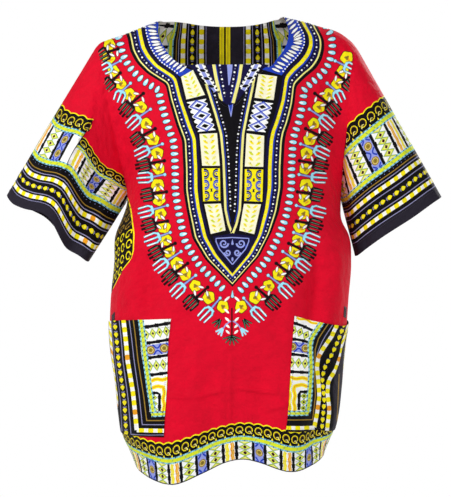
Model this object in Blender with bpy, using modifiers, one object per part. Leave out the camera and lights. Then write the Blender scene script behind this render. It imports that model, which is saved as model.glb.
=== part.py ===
"""Dashiki shirt, filled out as it is worn, with no wearer: seven sewn pieces of printed cotton.

Metres, +Z up. The front of the shirt faces -Y. The origin is midway between the shoulder
seams' neck ends, at the height where the shoulders carry the shirt. Left and right are
those of somebody who looks at the front.
"""

import math

import bpy
import numpy as np
from mathutils import Vector
from mathutils.geometry import delaunay_2d_cdt

# Cloth and seams
WALL = 0.0012            # thickness of one layer of the cotton, with its weave
SEAM = 0.0003            # gap between two pieces at a seam, and between two layers
ARMHOLE_GAP = 0.0016     # gap at the armholes, where the walls meet at an angle
FRONT, BACK = -1, 1      # sides of the body, as signs of Y
LEFT, RIGHT = -1, 1      # sides of the body, as signs of X

# The body
SHOULDER_ROUND = 0.11    # radius on which the cloth turns over the shoulders
FLAT_HALF = 0.27         # half of a body panel's flat width, side seam to middle
BOXINESS = 2.4           # 2 makes a section an ellipse, more squares its corners
ARMHOLE_DEPTH = 0.056    # how far the armhole's front and back edges stand off the seam
ARMHOLE_SPREAD = 3.0     # how late across the panel the cloth turns towards the armhole
ARMPIT_Z = -0.308
VENT_TOP = -0.706        # top of the open slit at each side of the hem
VENT_SPREAD = 0.35       # how far its two edges part, for each metre down
NAPE_RISE = 0.034        # how far the back's cut runs above the shoulders at the nape
NAPE_HALF = 0.105

# The spacing of a panel's points, in its flat cloth
BODY_STEP = 0.024
NECK_STEP = 0.011

# Sections of the body: height, middle, half width, depth of the front and of the back
SECTION_COLUMNS = ("z", "middle", "half", "front", "back")
SECTIONS = (
    (0.050, -0.0160, 0.200, 0.062, 0.070),
    (0.000, -0.0070, 0.205, 0.078, 0.086),
    (-0.080, 0.0000, 0.200, 0.101, 0.110),
    (-0.160, 0.0045, 0.192, 0.118, 0.118),
    (-0.240, 0.0060, 0.186, 0.127, 0.118),
    (-0.308, 0.0069, 0.182, 0.131, 0.115),
    (-0.342, 0.0020, 0.187, 0.132, 0.113),
    (-0.366, 0.0035, 0.197, 0.132, 0.112),
    (-0.410, 0.0046, 0.200, 0.131, 0.111),
    (-0.476, -0.0010, 0.201, 0.130, 0.112),
    (-0.553, -0.0038, 0.198, 0.133, 0.116),
    (-0.620, -0.0030, 0.189, 0.136, 0.119),
    (-0.665, -0.0036, 0.184, 0.137, 0.120),
    (-0.706, -0.0050, 0.175, 0.135, 0.119),
    (-0.730, -0.0040, 0.164, 0.131, 0.116),
    (-0.770, -0.0030, 0.150, 0.125, 0.112),
)

# The shoulder line: place across the body and height
SHOULDER_COLUMNS = ("x", "z")
SHOULDERS = (
    (-0.240, -0.052),
    (-0.224, -0.042),
    (-0.180, -0.026),
    (-0.147, -0.013),
    (-0.120, -0.003),
    (-0.060, 0.012),
    (0.000, 0.018),
    (0.050, 0.015),
    (0.089, 0.004),
    (0.120, -0.003),
    (0.146, -0.011),
    (0.184, -0.023),
    (0.2125, -0.044),
    (0.230, -0.060),
)
TIP = {LEFT: (-0.224, -0.042), RIGHT: (0.2125, -0.044)}

# Armhole seams: height, and place across the body of the left and the right one
ARMHOLE_COLUMNS = ("z", "left", "right")
ARMHOLES = (
    (0.050, -0.232, 0.222),
    (-0.043, -0.224, 0.2125),
    (-0.106, -0.212, 0.202),
    (-0.178, -0.198, 0.196),
    (-0.254, -0.184, 0.1905),
    (-0.308, -0.175, 0.1889),
    (-0.400, -0.170, 0.186),
)

# Neck edge of the front, from the left shoulder seam to the right one
NECK_COLUMNS = ("x", "z")
FRONT_NECK = (
    (-0.1200, -0.0033),
    (-0.1203, -0.0200),
    (-0.1190, -0.0340),
    (-0.1085, -0.0575),
    (-0.0970, -0.0740),
    (-0.0840, -0.0855),
    (-0.0650, -0.0930),
    (-0.0370, -0.1220),
    (-0.0010, -0.1560),
    (0.0330, -0.1220),
    (0.0560, -0.0930),
    (0.0660, -0.0915),
    (0.0760, -0.0785),
    (0.0870, -0.0640),
    (0.0940, -0.0482),
    (0.0972, -0.0300),
    (0.0955, -0.0130),
    (0.0890, 0.0038),
)
# Neck edge of the back, from the left shoulder seam to the right one
BACK_NECK = (
    (-0.1200, -0.0030),
    (-0.1175, -0.0022),
    (-0.1120, -0.0012),
    (-0.1000, 0.0012),
    (-0.0800, 0.0020),
    (-0.0500, 0.0000),
    (-0.0100, -0.0012),
    (0.0300, -0.0008),
    (0.0600, 0.0016),
    (0.0790, 0.0036),
    (0.0865, 0.0034),
    (0.0890, 0.0040),
)
# The inset that closes the slit of the neck, behind the front
INSET_OUTLINE = (
    (-0.0720, -0.0880),
    (-0.0380, -0.0880),
    (-0.0040, -0.0880),
    (0.0300, -0.0880),
    (0.0630, -0.0880),
    (0.0480, -0.1250),
    (0.0150, -0.1640),
    (-0.0180, -0.1640),
    (-0.0540, -0.1250),
)

# Hem heights by place across a panel, from the left side seam (-1) to the right one (1)
HEM_COLUMNS = ("across", "front", "back")
HEMS = (
    (-1.00, -0.736, -0.738),
    (-0.90, -0.747, -0.744),
    (-0.78, -0.756, -0.750),
    (-0.60, -0.763, -0.751),
    (-0.34, -0.768, -0.746),
    (-0.17, -0.752, -0.741),
    (0.00, -0.735, -0.744),
    (0.10, -0.732, -0.748),
    (0.20, -0.736, -0.750),
    (0.38, -0.749, -0.743),
    (0.60, -0.745, -0.740),
    (0.80, -0.737, -0.741),
    (1.00, -0.729, -0.736),
)

# Folds of the body: the two ends of the crest in the front view, the half width of the
# fold and its height, which is negative where it is a trough
FOLD_COLUMNS = ("x0", "z0", "x1", "z1", "spread", "height")
FRONT_FOLDS = (
    (-0.085, -0.56, -0.088, -0.80, 0.042, 0.012),
    (0.018, -0.50, 0.020, -0.80, 0.040, -0.010),
    (0.095, -0.54, 0.092, -0.80, 0.036, 0.010),
    (0.138, -0.37, 0.130, -0.54, 0.020, -0.008),
    (0.172, -0.36, 0.160, -0.56, 0.020, 0.006),
    (-0.132, -0.38, -0.128, -0.53, 0.022, -0.006),
    (-0.158, -0.34, -0.165, -0.50, 0.020, 0.004),
    (0.186, -0.12, 0.176, -0.30, 0.014, -0.010),
    (-0.196, -0.16, -0.168, -0.29, 0.016, -0.008),
    (0.180, -0.52, 0.140, -0.61, 0.018, -0.009),
    (0.140, -0.61, 0.143, -0.74, 0.018, -0.008),
    (0.166, -0.57, 0.163, -0.72, 0.020, 0.006),
    (-0.150, -0.55, -0.142, -0.74, 0.026, 0.005),
    (0.070, -0.33, 0.050, -0.52, 0.040, 0.004),
    (-0.060, -0.33, -0.040, -0.50, 0.040, 0.003),
)
BACK_FOLDS = (
    (-0.105, -0.28, -0.090, -0.80, 0.034, 0.010),
    (-0.045, -0.36, -0.038, -0.80, 0.034, -0.009),
    (0.024, -0.44, 0.030, -0.80, 0.036, 0.009),
    (0.092, -0.30, 0.080, -0.80, 0.032, -0.010),
    (0.145, -0.34, 0.134, -0.74, 0.026, 0.008),
    (-0.152, -0.33, -0.146, -0.72, 0.024, -0.007),
    (-0.180, -0.10, -0.160, -0.29, 0.018, -0.008),
    (0.182, -0.11, 0.168, -0.29, 0.017, -0.008),
    (-0.100, -0.050, 0.090, -0.056, 0.022, 0.003),
)

# Sleeves: the cuff's outer and inner corner, and half its depth
CUFF = {
    LEFT: {"outer": (-0.379, -0.2975), "inner": (-0.240, -0.4095)},
    RIGHT: {"outer": (0.3587, -0.3009), "inner": (0.2130, -0.4010)},
}
CUFF_DEPTH = 0.044
SLEEVE_FULLNESS = 0.012  # how far the middle of a sleeve stands out
SLEEVE_ROUND = 40        # points around a sleeve
SLEEVE_ROWS = 13         # points along a sleeve

# Folds of a sleeve, by place around it (0 outer edge, 0.25 front, 0.5 underarm): where
# along the sleeve they begin, their spread, how far they stand out and how far they
# move the cloth along the sleeve at the cuff
SLEEVE_FOLD_COLUMNS = ("around", "begin", "spread", "out", "along")
SLEEVE_FOLDS = {
    LEFT: (
        (0.100, 0.10, 0.045, -0.003, 0.004),
        (0.235, 0.00, 0.055, 0.013, -0.018),
        (0.355, 0.05, 0.042, -0.013, 0.006),
        (0.440, 0.20, 0.035, 0.004, 0.002),
        (0.640, 0.10, 0.050, -0.007, -0.006),
        (0.780, 0.00, 0.055, 0.009, -0.008),
        (0.900, 0.15, 0.040, -0.004, -0.002),
    ),
    RIGHT: (
        (0.130, 0.05, 0.055, 0.003, -0.001),
        (0.310, 0.00, 0.085, -0.006, -0.010),
        (0.440, 0.10, 0.030, 0.003, 0.001),
        (0.620, 0.30, 0.050, 0.004, -0.006),
        (0.710, 0.00, 0.050, -0.007, -0.008),
        (0.830, 0.10, 0.050, 0.007, -0.005),
    ),
}

# Pockets, in the front view: top and bottom of the inner edge, and heights at the side
POCKETS = {
    LEFT: {"top": (-0.0960, -0.5026), "bottom": (-0.1030, -0.6920), "side": (-0.512, -0.698)},
    RIGHT: {"top": (0.1040, -0.4980), "bottom": (0.0865, -0.6830), "side": (-0.510, -0.694)},
}
MOUTH_SAG = {LEFT: 0.000, RIGHT: 0.012}    # dip of a pocket's top edge at its middle
MOUTH_STAND = {LEFT: 0.002, RIGHT: 0.004}  # how far the top edge stands off the body
SIDE_ALLOWANCE = 0.004                     # from a pocket's outer edge to the side seam


def column(table, columns, name):
    """One named column of a table, as an array."""
    return np.array([row[columns.index(name)] for row in table])


def smooth(xs, ys, x):
    """A smooth curve through the points (xs, ys), read at x."""
    order = np.argsort(xs)
    xs, ys = xs[order], ys[order]
    x = np.clip(x, xs[0], xs[-1])
    slopes = np.gradient(ys, xs)
    i = np.clip(np.searchsorted(xs, x) - 1, 0, len(xs) - 2)
    width = xs[i + 1] - xs[i]
    t = (x - xs[i]) / width
    start = (1 + 2 * t) * (1 - t) ** 2 * ys[i] + t * (1 - t) ** 2 * width * slopes[i]
    end = t**2 * (3 - 2 * t) * ys[i + 1] - t**2 * (1 - t) * width * slopes[i + 1]
    return start + end


def section(name, z):
    """A size of the body's section at height z."""
    return smooth(column(SECTIONS, SECTION_COLUMNS, "z"), column(SECTIONS, SECTION_COLUMNS, name), z)


def step(t):
    """0 below 0, 1 above 1 and smooth between them."""
    t = np.clip(t, 0, 1)
    return t * t * (3 - 2 * t)


def shoulder_x(u):
    """Place across the body, on the shoulder line, of the panel's place u."""
    left, right = TIP[LEFT][0], TIP[RIGHT][0]
    return (left + right) / 2 + u * (right - left) / 2


def top_height(u, side):
    """Height at which the cloth would close over the body at u."""
    x = shoulder_x(u)
    height = smooth(
        column(SHOULDERS, SHOULDER_COLUMNS, "x"), column(SHOULDERS, SHOULDER_COLUMNS, "z"), x
    )
    nape = np.clip(1 - ((x + 0.0155) / NAPE_HALF) ** 2, 0, None) ** 2
    return height + (NAPE_RISE * nape if side == BACK else 0)


def across(u, z, side):
    """X and the depth, with no shoulder rounding, of the panel's place u at height z."""
    angle = u * math.pi / 2
    sine, cosine = np.sin(angle), np.maximum(np.cos(angle), 0)
    corner = (np.abs(sine) ** BOXINESS + cosine**BOXINESS) ** (1 / BOXINESS)
    depth = section("front" if side == FRONT else "back", z)
    low_x = section("middle", z) + section("half", z) * sine / corner
    low_depth = depth * cosine / corner
    heights = column(ARMHOLES, ARMHOLE_COLUMNS, "z")
    left = smooth(heights, column(ARMHOLES, ARMHOLE_COLUMNS, "left"), z)
    right = smooth(heights, column(ARMHOLES, ARMHOLE_COLUMNS, "right"), z)
    high_x = (left + right) / 2 + u * (right - left) / 2
    high_depth = depth * (1 - np.abs(u) ** ARMHOLE_SPREAD)
    high = step((z - ARMPIT_Z + 0.05) / 0.14)
    return low_x + (high_x - low_x) * high, low_depth + (high_depth - low_depth) * high


def edge_depth(fall, top):
    """How far a panel's outer edge stands off the middle: at the armhole, and at the vent."""
    share = np.clip(fall / (top - ARMPIT_Z), 0, 1)
    armhole_part = ARMHOLE_DEPTH * 2.6 * np.sqrt(share) * (1 - share)
    return armhole_part + VENT_SPREAD * np.maximum(VENT_TOP - (top - fall), 0)


def drop(v):
    """How far the cloth has come down, and how far it has turned forward, at length v."""
    turn = np.clip(v / SHOULDER_ROUND, 0, math.pi / 2)
    straight = np.maximum(v - SHOULDER_ROUND * math.pi / 2, 0)
    return SHOULDER_ROUND * (1 - np.cos(turn)) + straight, np.sin(turn)


def length_at(fall):
    """The length v at which the cloth has come down by fall."""
    fall = np.maximum(fall, 0)
    turn = np.arccos(np.clip(1 - fall / SHOULDER_ROUND, 0, 1))
    return SHOULDER_ROUND * turn + np.maximum(fall - SHOULDER_ROUND, 0)


def plain_body(u, v, side):
    """The body's surface without its folds, at u across the panel and v down it."""
    fall, turned = drop(v)
    top = top_height(u, side)
    x, depth = across(u, top - fall, side)
    depth = depth * turned + np.abs(u) ** (2 * ARMHOLE_SPREAD) * edge_depth(fall, top)
    return np.stack([x, side * (depth + SEAM / 2), top - fall], -1)


def fold_height(x, z, table):
    """How far the folds of a table lift the cloth at (x, z) of the front view."""
    lift = np.zeros_like(x)
    for row in table:
        fold = dict(zip(FOLD_COLUMNS, row))
        start = np.array([fold["x0"], fold["z0"]])
        along = np.array([fold["x1"], fold["z1"]]) - start
        length = np.linalg.norm(along)
        along = along / length
        dx, dz = x - start[0], z - start[1]
        run = (dx * along[0] + dz * along[1]) / length
        away = -dx * along[1] + dz * along[0]
        ends = step(run / 0.3) * step((1 - run) / 0.3)
        if fold["z1"] <= -0.80:
            ends = step(run / 0.6)
        lift += fold["height"] * ends * np.exp(-((away / fold["spread"]) ** 2))
    return lift


def normals_of(surface, u, v):
    """Unit normals of a surface, from steps of 1 mm to each side."""
    small_u, small_v = 0.001 / FLAT_HALF, 0.001
    across_u = surface(np.clip(u + small_u, -1, 1), v) - surface(np.clip(u - small_u, -1, 1), v)
    down = surface(u, v + small_v) - surface(u, np.maximum(v - small_v, 0))
    normal = np.cross(across_u, down)
    return normal / np.maximum(np.linalg.norm(normal, axis=-1, keepdims=True), 1e-12)


def body(u, v, side, out=0.0):
    """The body's surface with its folds, moved outwards by out."""

    def plain(a, b):
        return plain_body(a, b, side)

    point = plain(u, v)
    normal = normals_of(plain, u, v) * side
    folds = FRONT_FOLDS if side == FRONT else BACK_FOLDS
    lift = fold_height(point[..., 0], point[..., 2], folds)
    calm_seam = 1 - np.abs(u) ** 8
    calm_top = step(v / 0.05)
    shifted = point + normal * (lift * calm_seam * calm_top + out)[..., None]
    return shifted


def place_of(x, z, side):
    """The panel's u and v at (x, z) of the front view, found by halving."""
    x, z = np.asarray(x, float), np.asarray(z, float)
    low, high = np.full(x.shape, -1.0), np.full(x.shape, 1.0)
    for _ in range(40):
        middle = (low + high) / 2
        below = across(middle, z, side)[0] < x
        low, high = np.where(below, middle, low), np.where(below, high, middle)
    u = (low + high) / 2
    return u, length_at(top_height(u, side) - z)


def flat(u, v):
    """The point of the flat cloth, in metres, at u and v of a body panel."""
    return np.stack([np.asarray(u) * FLAT_HALF, np.asarray(v)], -1)


def spaced(points, gap):
    """A closed outline's points, with more put in so that none are further apart than gap."""
    out = []
    for a, b in zip(points, np.roll(points, -1, axis=0)):
        count = max(1, math.ceil(np.linalg.norm(b - a) / gap))
        out.extend(a + (b - a) * k / count for k in range(count))
    return np.array(out)


def inside(points, outline):
    """Which of the points lie inside a closed outline."""
    crossed = np.zeros(len(points), bool)
    for a, b in zip(outline, np.roll(outline, -1, axis=0)):
        spans = (a[1] > points[:, 1]) != (b[1] > points[:, 1])
        at = a[0] + (points[:, 1] - a[1]) * (b[0] - a[0]) / (b[1] - a[1] if b[1] != a[1] else 1)
        crossed ^= spans & (points[:, 0] < at)
    return crossed


def lay_out(outlines, gap):
    """Flat cloth marked with closed outlines: its points and its triangles."""
    edges, rings, used = [], [], 0
    for outline in outlines:
        edge = spaced(np.asarray(outline), gap)
        edges.append(edge)
        rings.extend((used + k, used + (k + 1) % len(edge)) for k in range(len(edge)))
        used += len(edge)
    marked = np.concatenate(edges)
    low, high = marked.min(0), marked.max(0)
    rows = []
    for j, y in enumerate(np.arange(low[1] + gap / 2, high[1], gap * 0.87)):
        xs = np.arange(low[0] + gap / 2 * (1 + j % 2), high[0], gap)
        rows.append(np.stack([xs, np.full_like(xs, y)], -1))
    filling = np.concatenate(rows)
    apart = np.linalg.norm(filling[:, None] - marked[None], axis=-1).min(1)
    filling = filling[apart > gap * 0.5]
    points = [Vector(p) for p in np.concatenate([marked, filling])]
    found = delaunay_2d_cdt(points, rings, [], 0, 1e-6)
    return np.array([tuple(p) for p in found[0]]), [tuple(face) for face in found[2]]


def cut(points, faces, outline):
    """The triangles of a layout that lie inside one outline."""
    middles = points[np.array(faces)].mean(1)
    return [face for face, kept in zip(faces, inside(middles, outline)) if kept]


def material(name, colour, roughness):
    """A plain cotton material."""
    made = bpy.data.materials.new(name)
    made.use_nodes = True
    shader = made.node_tree.nodes["Principled BSDF"]
    shader.inputs["Base Color"].default_value = (*colour, 1)
    shader.inputs["Roughness"].default_value = roughness
    shader.inputs["Metallic"].default_value = 0.0
    return made


def cloth(name, points, faces, surface_material, collection):
    """A wall of cloth, WALL thick, on both sides of an open surface."""
    used = sorted({k for face in faces for k in face})
    number = {old: new for new, old in enumerate(used)}
    corners = [tuple(number[k] for k in face) for face in faces]
    mesh = bpy.data.meshes.new(name)
    mesh.from_pydata([tuple(points[k]) for k in used], [], corners)
    mesh.shade_smooth()
    mesh.materials.append(surface_material)
    made = bpy.data.objects.new(name, mesh)
    collection.objects.link(made)
    wall = made.modifiers.new("wall", "SOLIDIFY")
    wall.thickness = WALL
    wall.offset = 0
    wall.use_even_offset = True
    return made


def curve(table):
    """A smooth curve through a neck table's points, close enough together to look round."""
    x, z = column(table, NECK_COLUMNS, "x"), column(table, NECK_COLUMNS, "z")
    run = np.concatenate([[0], np.cumsum(np.hypot(np.diff(x), np.diff(z)))])
    fine = np.linspace(0, run[-1], round(run[-1] / NECK_STEP) + 1)
    return smooth(run, x, fine), smooth(run, z, fine)


def outline_of_body(neck, side):
    """A body panel's flat outline: shoulders, neck, side seams, armholes and hem."""
    name = "front" if side == FRONT else "back"
    hem_u = np.linspace(-1, 1, 37)
    hem_z = smooth(column(HEMS, HEM_COLUMNS, "across"), column(HEMS, HEM_COLUMNS, name), hem_u)
    hem = flat(hem_u, length_at(top_height(hem_u, side) - hem_z))
    u, v = place_of(*curve(neck), side)
    v[0] = v[-1] = 0
    return np.concatenate([flat([-1.0], [0.0]), flat(u, v), flat([1.0], [0.0]), hem[::-1]])


def outline_of_inset():
    """The neck inset's flat outline, on the front's cloth."""
    x, z = column(INSET_OUTLINE, NECK_COLUMNS, "x"), column(INSET_OUTLINE, NECK_COLUMNS, "z")
    return flat(*place_of(x, z, FRONT))


def outline_of_pocket(side):
    """A pocket's flat outline, on the front's cloth."""
    sizes = POCKETS[side]
    last = side * (1 - SIDE_ALLOWANCE / FLAT_HALF)
    inner_top = place_of(*sizes["top"], FRONT)[0]
    inner_base = place_of(*sizes["bottom"], FRONT)[0]
    share = np.linspace(0, 1, 8)
    mouth_u = inner_top + (last - inner_top) * share
    base_u = inner_base + (last - inner_base) * share
    sag = MOUTH_SAG[side] * np.sin(math.pi * share)
    mouth = sizes["top"][1] + share * (sizes["side"][0] - sizes["top"][1]) - sag
    base = sizes["bottom"][1] + share * (sizes["side"][1] - sizes["bottom"][1])
    mouth_v = length_at(top_height(mouth_u, FRONT) - mouth)
    base_v = length_at(top_height(base_u, FRONT) - base)
    return np.concatenate([flat(mouth_u, mouth_v), flat(base_u, base_v)[::-1]])


def mouth_stand(u, v, side):
    """How far a pocket's mouth stands off the body."""
    outline = outline_of_pocket(side)
    inner, outer = np.abs(outline[:, 0]).min() / FLAT_HALF, np.abs(outline[:, 0]).max() / FLAT_HALF
    share = np.clip((np.abs(u) - inner) / (outer - inner), 0, 1)
    near_mouth = step(1 - (v - outline[:, 1].min()) / 0.07)
    return MOUTH_STAND[side] * np.sin(math.pi * share) * near_mouth


def front_pieces(surface_material, border, trim, collection):
    """The front, and the pieces on its cloth: the neck's inset under it, the pockets on it."""
    front = outline_of_body(FRONT_NECK, FRONT)
    inset = outline_of_inset()
    pockets = {side: outline_of_pocket(side) for side in (LEFT, RIGHT)}
    points, faces = lay_out([front, inset, pockets[LEFT], pockets[RIGHT]], BODY_STEP)
    u, v = np.clip(points[:, 0] / FLAT_HALF, -1, 1), np.maximum(points[:, 1], 0)

    def piece(name, outline, out, piece_material):
        kept = [face[::-1] for face in cut(points, faces, outline)]
        cloth(name, body(u, v, FRONT, out=out), kept, piece_material, collection)

    piece("front", front, 0.0, surface_material)
    piece("neck_inset", inset, -(WALL + SEAM), border)
    for name, side in (("pocket_left", LEFT), ("pocket_right", RIGHT)):
        piece(name, pockets[side], WALL + SEAM + mouth_stand(u, v, side), trim)


def back_piece(surface_material, collection):
    """The back."""
    outline = outline_of_body(BACK_NECK, BACK)
    points, faces = lay_out([outline], BODY_STEP)
    u, v = np.clip(points[:, 0] / FLAT_HALF, -1, 1), np.maximum(points[:, 1], 0)
    cloth("back", body(u, v, BACK), cut(points, faces, outline), surface_material, collection)


def armhole(around, side):
    """A point of the armhole's edge: 0 at the shoulder, 0.5 at the armpit, 1 at the shoulder."""
    share = 1 - np.abs(1 - 2 * around)
    u = np.full_like(around, side * 1.0)
    armpit = length_at(top_height(u, FRONT) - ARMPIT_Z)
    front = plain_body(u, share * armpit, FRONT)
    back = plain_body(u, share * armpit, BACK)
    return np.where((around <= 0.5)[..., None], front, back)


def sleeve_point(around, along, side):
    """The sleeve's surface: around it from its outer edge over the front, and down it."""
    outer, inner = (np.array([CUFF[side][k][0], 0, CUFF[side][k][1]]) for k in ("outer", "inner"))
    turn = 2 * math.pi * around
    spread = (outer - inner) / 2
    facing_out = np.array([0, -1.0, 0])
    cuff = (outer + inner) / 2 + np.cos(turn)[..., None] * spread
    cuff = cuff + (np.sin(turn) * CUFF_DEPTH)[..., None] * facing_out
    start = armhole(around, side)
    start[..., 0] += side * ARMHOLE_GAP
    down = np.cross(facing_out, spread / np.linalg.norm(spread)) * -side
    point = start + (cuff - start) * along[..., None]
    full = SLEEVE_FULLNESS * 4 * along * (1 - along)
    point[..., 1] -= full * np.sin(turn)
    radial = np.cos(turn)[..., None] * spread / np.linalg.norm(spread)
    radial = radial + np.sin(turn)[..., None] * facing_out * 2
    radial = radial / np.linalg.norm(radial, axis=-1, keepdims=True)
    for row in SLEEVE_FOLDS[side]:
        fold = dict(zip(SLEEVE_FOLD_COLUMNS, row))
        away = np.abs(around - fold["around"])
        bump = np.exp(-((away / fold["spread"]) ** 2)) * step((along - fold["begin"]) / 0.6)
        point = point + radial * (bump * fold["out"])[..., None]
        point = point + down * (bump * along * fold["along"])[..., None]
    return point


def sleeve(name, side, surface_material, collection):
    """A sleeve, one piece sewn into a tube."""
    around, along = np.meshgrid(
        np.arange(SLEEVE_ROUND) / SLEEVE_ROUND, np.linspace(0, 1, SLEEVE_ROWS)
    )
    points = sleeve_point(around.ravel(), along.ravel(), side)
    faces = []
    for row in range(SLEEVE_ROWS - 1):
        for k in range(SLEEVE_ROUND):
            right = (k + 1) % SLEEVE_ROUND
            a, b = row * SLEEVE_ROUND + k, row * SLEEVE_ROUND + right
            ring = (a, b, b + SLEEVE_ROUND, a + SLEEVE_ROUND)
            faces.append(ring if side == RIGHT else ring[::-1])
    return cloth(name, points, faces, surface_material, collection)


def clear_scene():
    """Removes the scene's own objects."""
    for old in list(bpy.data.objects):
        bpy.data.objects.remove(old)


def build():
    """The whole shirt."""
    clear_scene()
    shirt = bpy.data.collections.new("dashiki_shirt")
    bpy.context.scene.collection.children.link(shirt)
    red = material("red_cotton", (0.70, 0.01, 0.03), 0.75)
    border = material("border_print", (0.05, 0.04, 0.08), 0.75)
    trim = material("pocket_print", (0.60, 0.55, 0.10), 0.75)
    front_pieces(red, border, trim, shirt)
    back_piece(red, shirt)
    sleeve("sleeve_left", LEFT, border, shirt)
    sleeve("sleeve_right", RIGHT, border, shirt)


build()
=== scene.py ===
# %% [markdown]
# A dashiki shirt is seven pieces of printed cotton: a front, a back, two sleeves, two patch
# pockets and a small inset behind the slit of the neck. Here it is filled out as it is worn,
# with nobody in it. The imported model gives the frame, and every piece of cloth is laid on it.

import math

import bpy
import numpy as np
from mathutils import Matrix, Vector
from mathutils.geometry import delaunay_2d_cdt


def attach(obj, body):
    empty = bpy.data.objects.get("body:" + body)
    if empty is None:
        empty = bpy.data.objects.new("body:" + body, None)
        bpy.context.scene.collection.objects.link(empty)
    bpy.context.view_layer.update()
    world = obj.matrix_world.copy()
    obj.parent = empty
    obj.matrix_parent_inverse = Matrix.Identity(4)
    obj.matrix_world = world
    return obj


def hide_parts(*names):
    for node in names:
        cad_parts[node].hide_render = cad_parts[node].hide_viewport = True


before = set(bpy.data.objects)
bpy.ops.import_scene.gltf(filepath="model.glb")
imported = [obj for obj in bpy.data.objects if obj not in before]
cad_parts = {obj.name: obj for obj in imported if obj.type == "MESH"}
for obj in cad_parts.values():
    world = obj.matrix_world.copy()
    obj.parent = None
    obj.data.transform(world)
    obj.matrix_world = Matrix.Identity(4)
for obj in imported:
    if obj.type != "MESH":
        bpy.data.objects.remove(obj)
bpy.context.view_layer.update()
print("nodes", sorted(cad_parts))

# %% [markdown]
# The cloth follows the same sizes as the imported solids. A panel is a function of two numbers,
# u across it and v down it, so any point that is drawn on the flat cloth has one place in
# space. That is how a tailor's pattern works, and it keeps print, seams and stitches together.

# %% Sizes of the body, the same as the model's
FRONT, BACK = -1, 1
LEFT, RIGHT = -1, 1
SHOULDER_ROUND = 0.11
FLAT_HALF = 0.27
BOXINESS = 2.4
ARMHOLE_DEPTH = 0.056
ARMHOLE_SPREAD = 3.0
ARMPIT_Z = -0.308
VENT_TOP = -0.706
VENT_SPREAD = 0.35
NAPE_RISE = 0.034
NAPE_HALF = 0.105
NAPE_X = -0.0155

SECTION_COLUMNS = ("z", "middle", "half", "front", "back")
SECTIONS = (
    (0.050, -0.0160, 0.200, 0.062, 0.070),
    (0.000, -0.0070, 0.205, 0.078, 0.086),
    (-0.080, 0.0000, 0.200, 0.101, 0.110),
    (-0.160, 0.0045, 0.192, 0.118, 0.118),
    (-0.240, 0.0060, 0.186, 0.127, 0.118),
    (-0.308, 0.0069, 0.182, 0.131, 0.115),
    (-0.342, 0.0020, 0.187, 0.132, 0.113),
    (-0.366, 0.0035, 0.197, 0.132, 0.112),
    (-0.410, 0.0046, 0.200, 0.131, 0.111),
    (-0.476, -0.0010, 0.201, 0.130, 0.112),
    (-0.553, -0.0038, 0.198, 0.133, 0.116),
    (-0.620, -0.0030, 0.189, 0.136, 0.119),
    (-0.665, -0.0036, 0.184, 0.137, 0.120),
    (-0.706, -0.0050, 0.175, 0.135, 0.119),
    (-0.730, -0.0040, 0.164, 0.131, 0.116),
    (-0.770, -0.0030, 0.150, 0.125, 0.112),
)
SHOULDER_COLUMNS = ("x", "z")
SHOULDERS = (
    (-0.240, -0.052),
    (-0.224, -0.042),
    (-0.180, -0.026),
    (-0.147, -0.013),
    (-0.120, -0.003),
    (-0.060, 0.012),
    (0.000, 0.018),
    (0.050, 0.015),
    (0.089, 0.004),
    (0.120, -0.003),
    (0.146, -0.011),
    (0.184, -0.023),
    (0.2125, -0.044),
    (0.230, -0.060),
)
TIP = {LEFT: (-0.224, -0.042), RIGHT: (0.2125, -0.044)}
ARMHOLE_COLUMNS = ("z", "left", "right")
ARMHOLES = (
    (0.050, -0.232, 0.222),
    (-0.043, -0.224, 0.2125),
    (-0.106, -0.212, 0.202),
    (-0.178, -0.198, 0.196),
    (-0.254, -0.184, 0.1905),
    (-0.308, -0.175, 0.1889),
    (-0.400, -0.170, 0.186),
)

# %% Outlines of the neck, the inset and the hem
NECK_COLUMNS = ("x", "z")
FRONT_NECK = (
    (-0.1200, -0.0033),
    (-0.1203, -0.0200),
    (-0.1190, -0.0340),
    (-0.1085, -0.0575),
    (-0.0970, -0.0740),
    (-0.0840, -0.0855),
    (-0.0650, -0.0930),
    (-0.0370, -0.1220),
    (-0.0010, -0.1560),
    (0.0330, -0.1220),
    (0.0560, -0.0930),
    (0.0660, -0.0915),
    (0.0760, -0.0785),
    (0.0870, -0.0640),
    (0.0940, -0.0482),
    (0.0972, -0.0300),
    (0.0955, -0.0130),
    (0.0890, 0.0038),
)
BACK_NECK = (
    (-0.1200, -0.0030),
    (-0.1175, -0.0022),
    (-0.1120, -0.0012),
    (-0.1000, 0.0012),
    (-0.0800, 0.0020),
    (-0.0500, 0.0000),
    (-0.0100, -0.0012),
    (0.0300, -0.0008),
    (0.0600, 0.0016),
    (0.0790, 0.0036),
    (0.0865, 0.0034),
    (0.0890, 0.0040),
)
INSET_OUTLINE = (
    (-0.0720, -0.0880),
    (-0.0380, -0.0880),
    (-0.0040, -0.0880),
    (0.0300, -0.0880),
    (0.0630, -0.0880),
    (0.0480, -0.1250),
    (0.0150, -0.1640),
    (-0.0180, -0.1640),
    (-0.0540, -0.1250),
)
HEM_COLUMNS = ("across", "front", "back")
HEMS = (
    (-1.00, -0.736, -0.738),
    (-0.90, -0.747, -0.744),
    (-0.78, -0.756, -0.750),
    (-0.60, -0.763, -0.751),
    (-0.34, -0.768, -0.746),
    (-0.17, -0.752, -0.741),
    (0.00, -0.735, -0.744),
    (0.10, -0.732, -0.748),
    (0.20, -0.736, -0.750),
    (0.38, -0.749, -0.743),
    (0.60, -0.745, -0.740),
    (0.80, -0.737, -0.741),
    (1.00, -0.729, -0.736),
)

# %% [markdown]
# The large folds are the model's own. Cotton that has been worn, packed and hung also has
# finer creases: short, shallow and uneven. Each row is one of them, with the two ends of its
# crest in the front view, how wide it is and how high, or how deep where it is negative.

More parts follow.
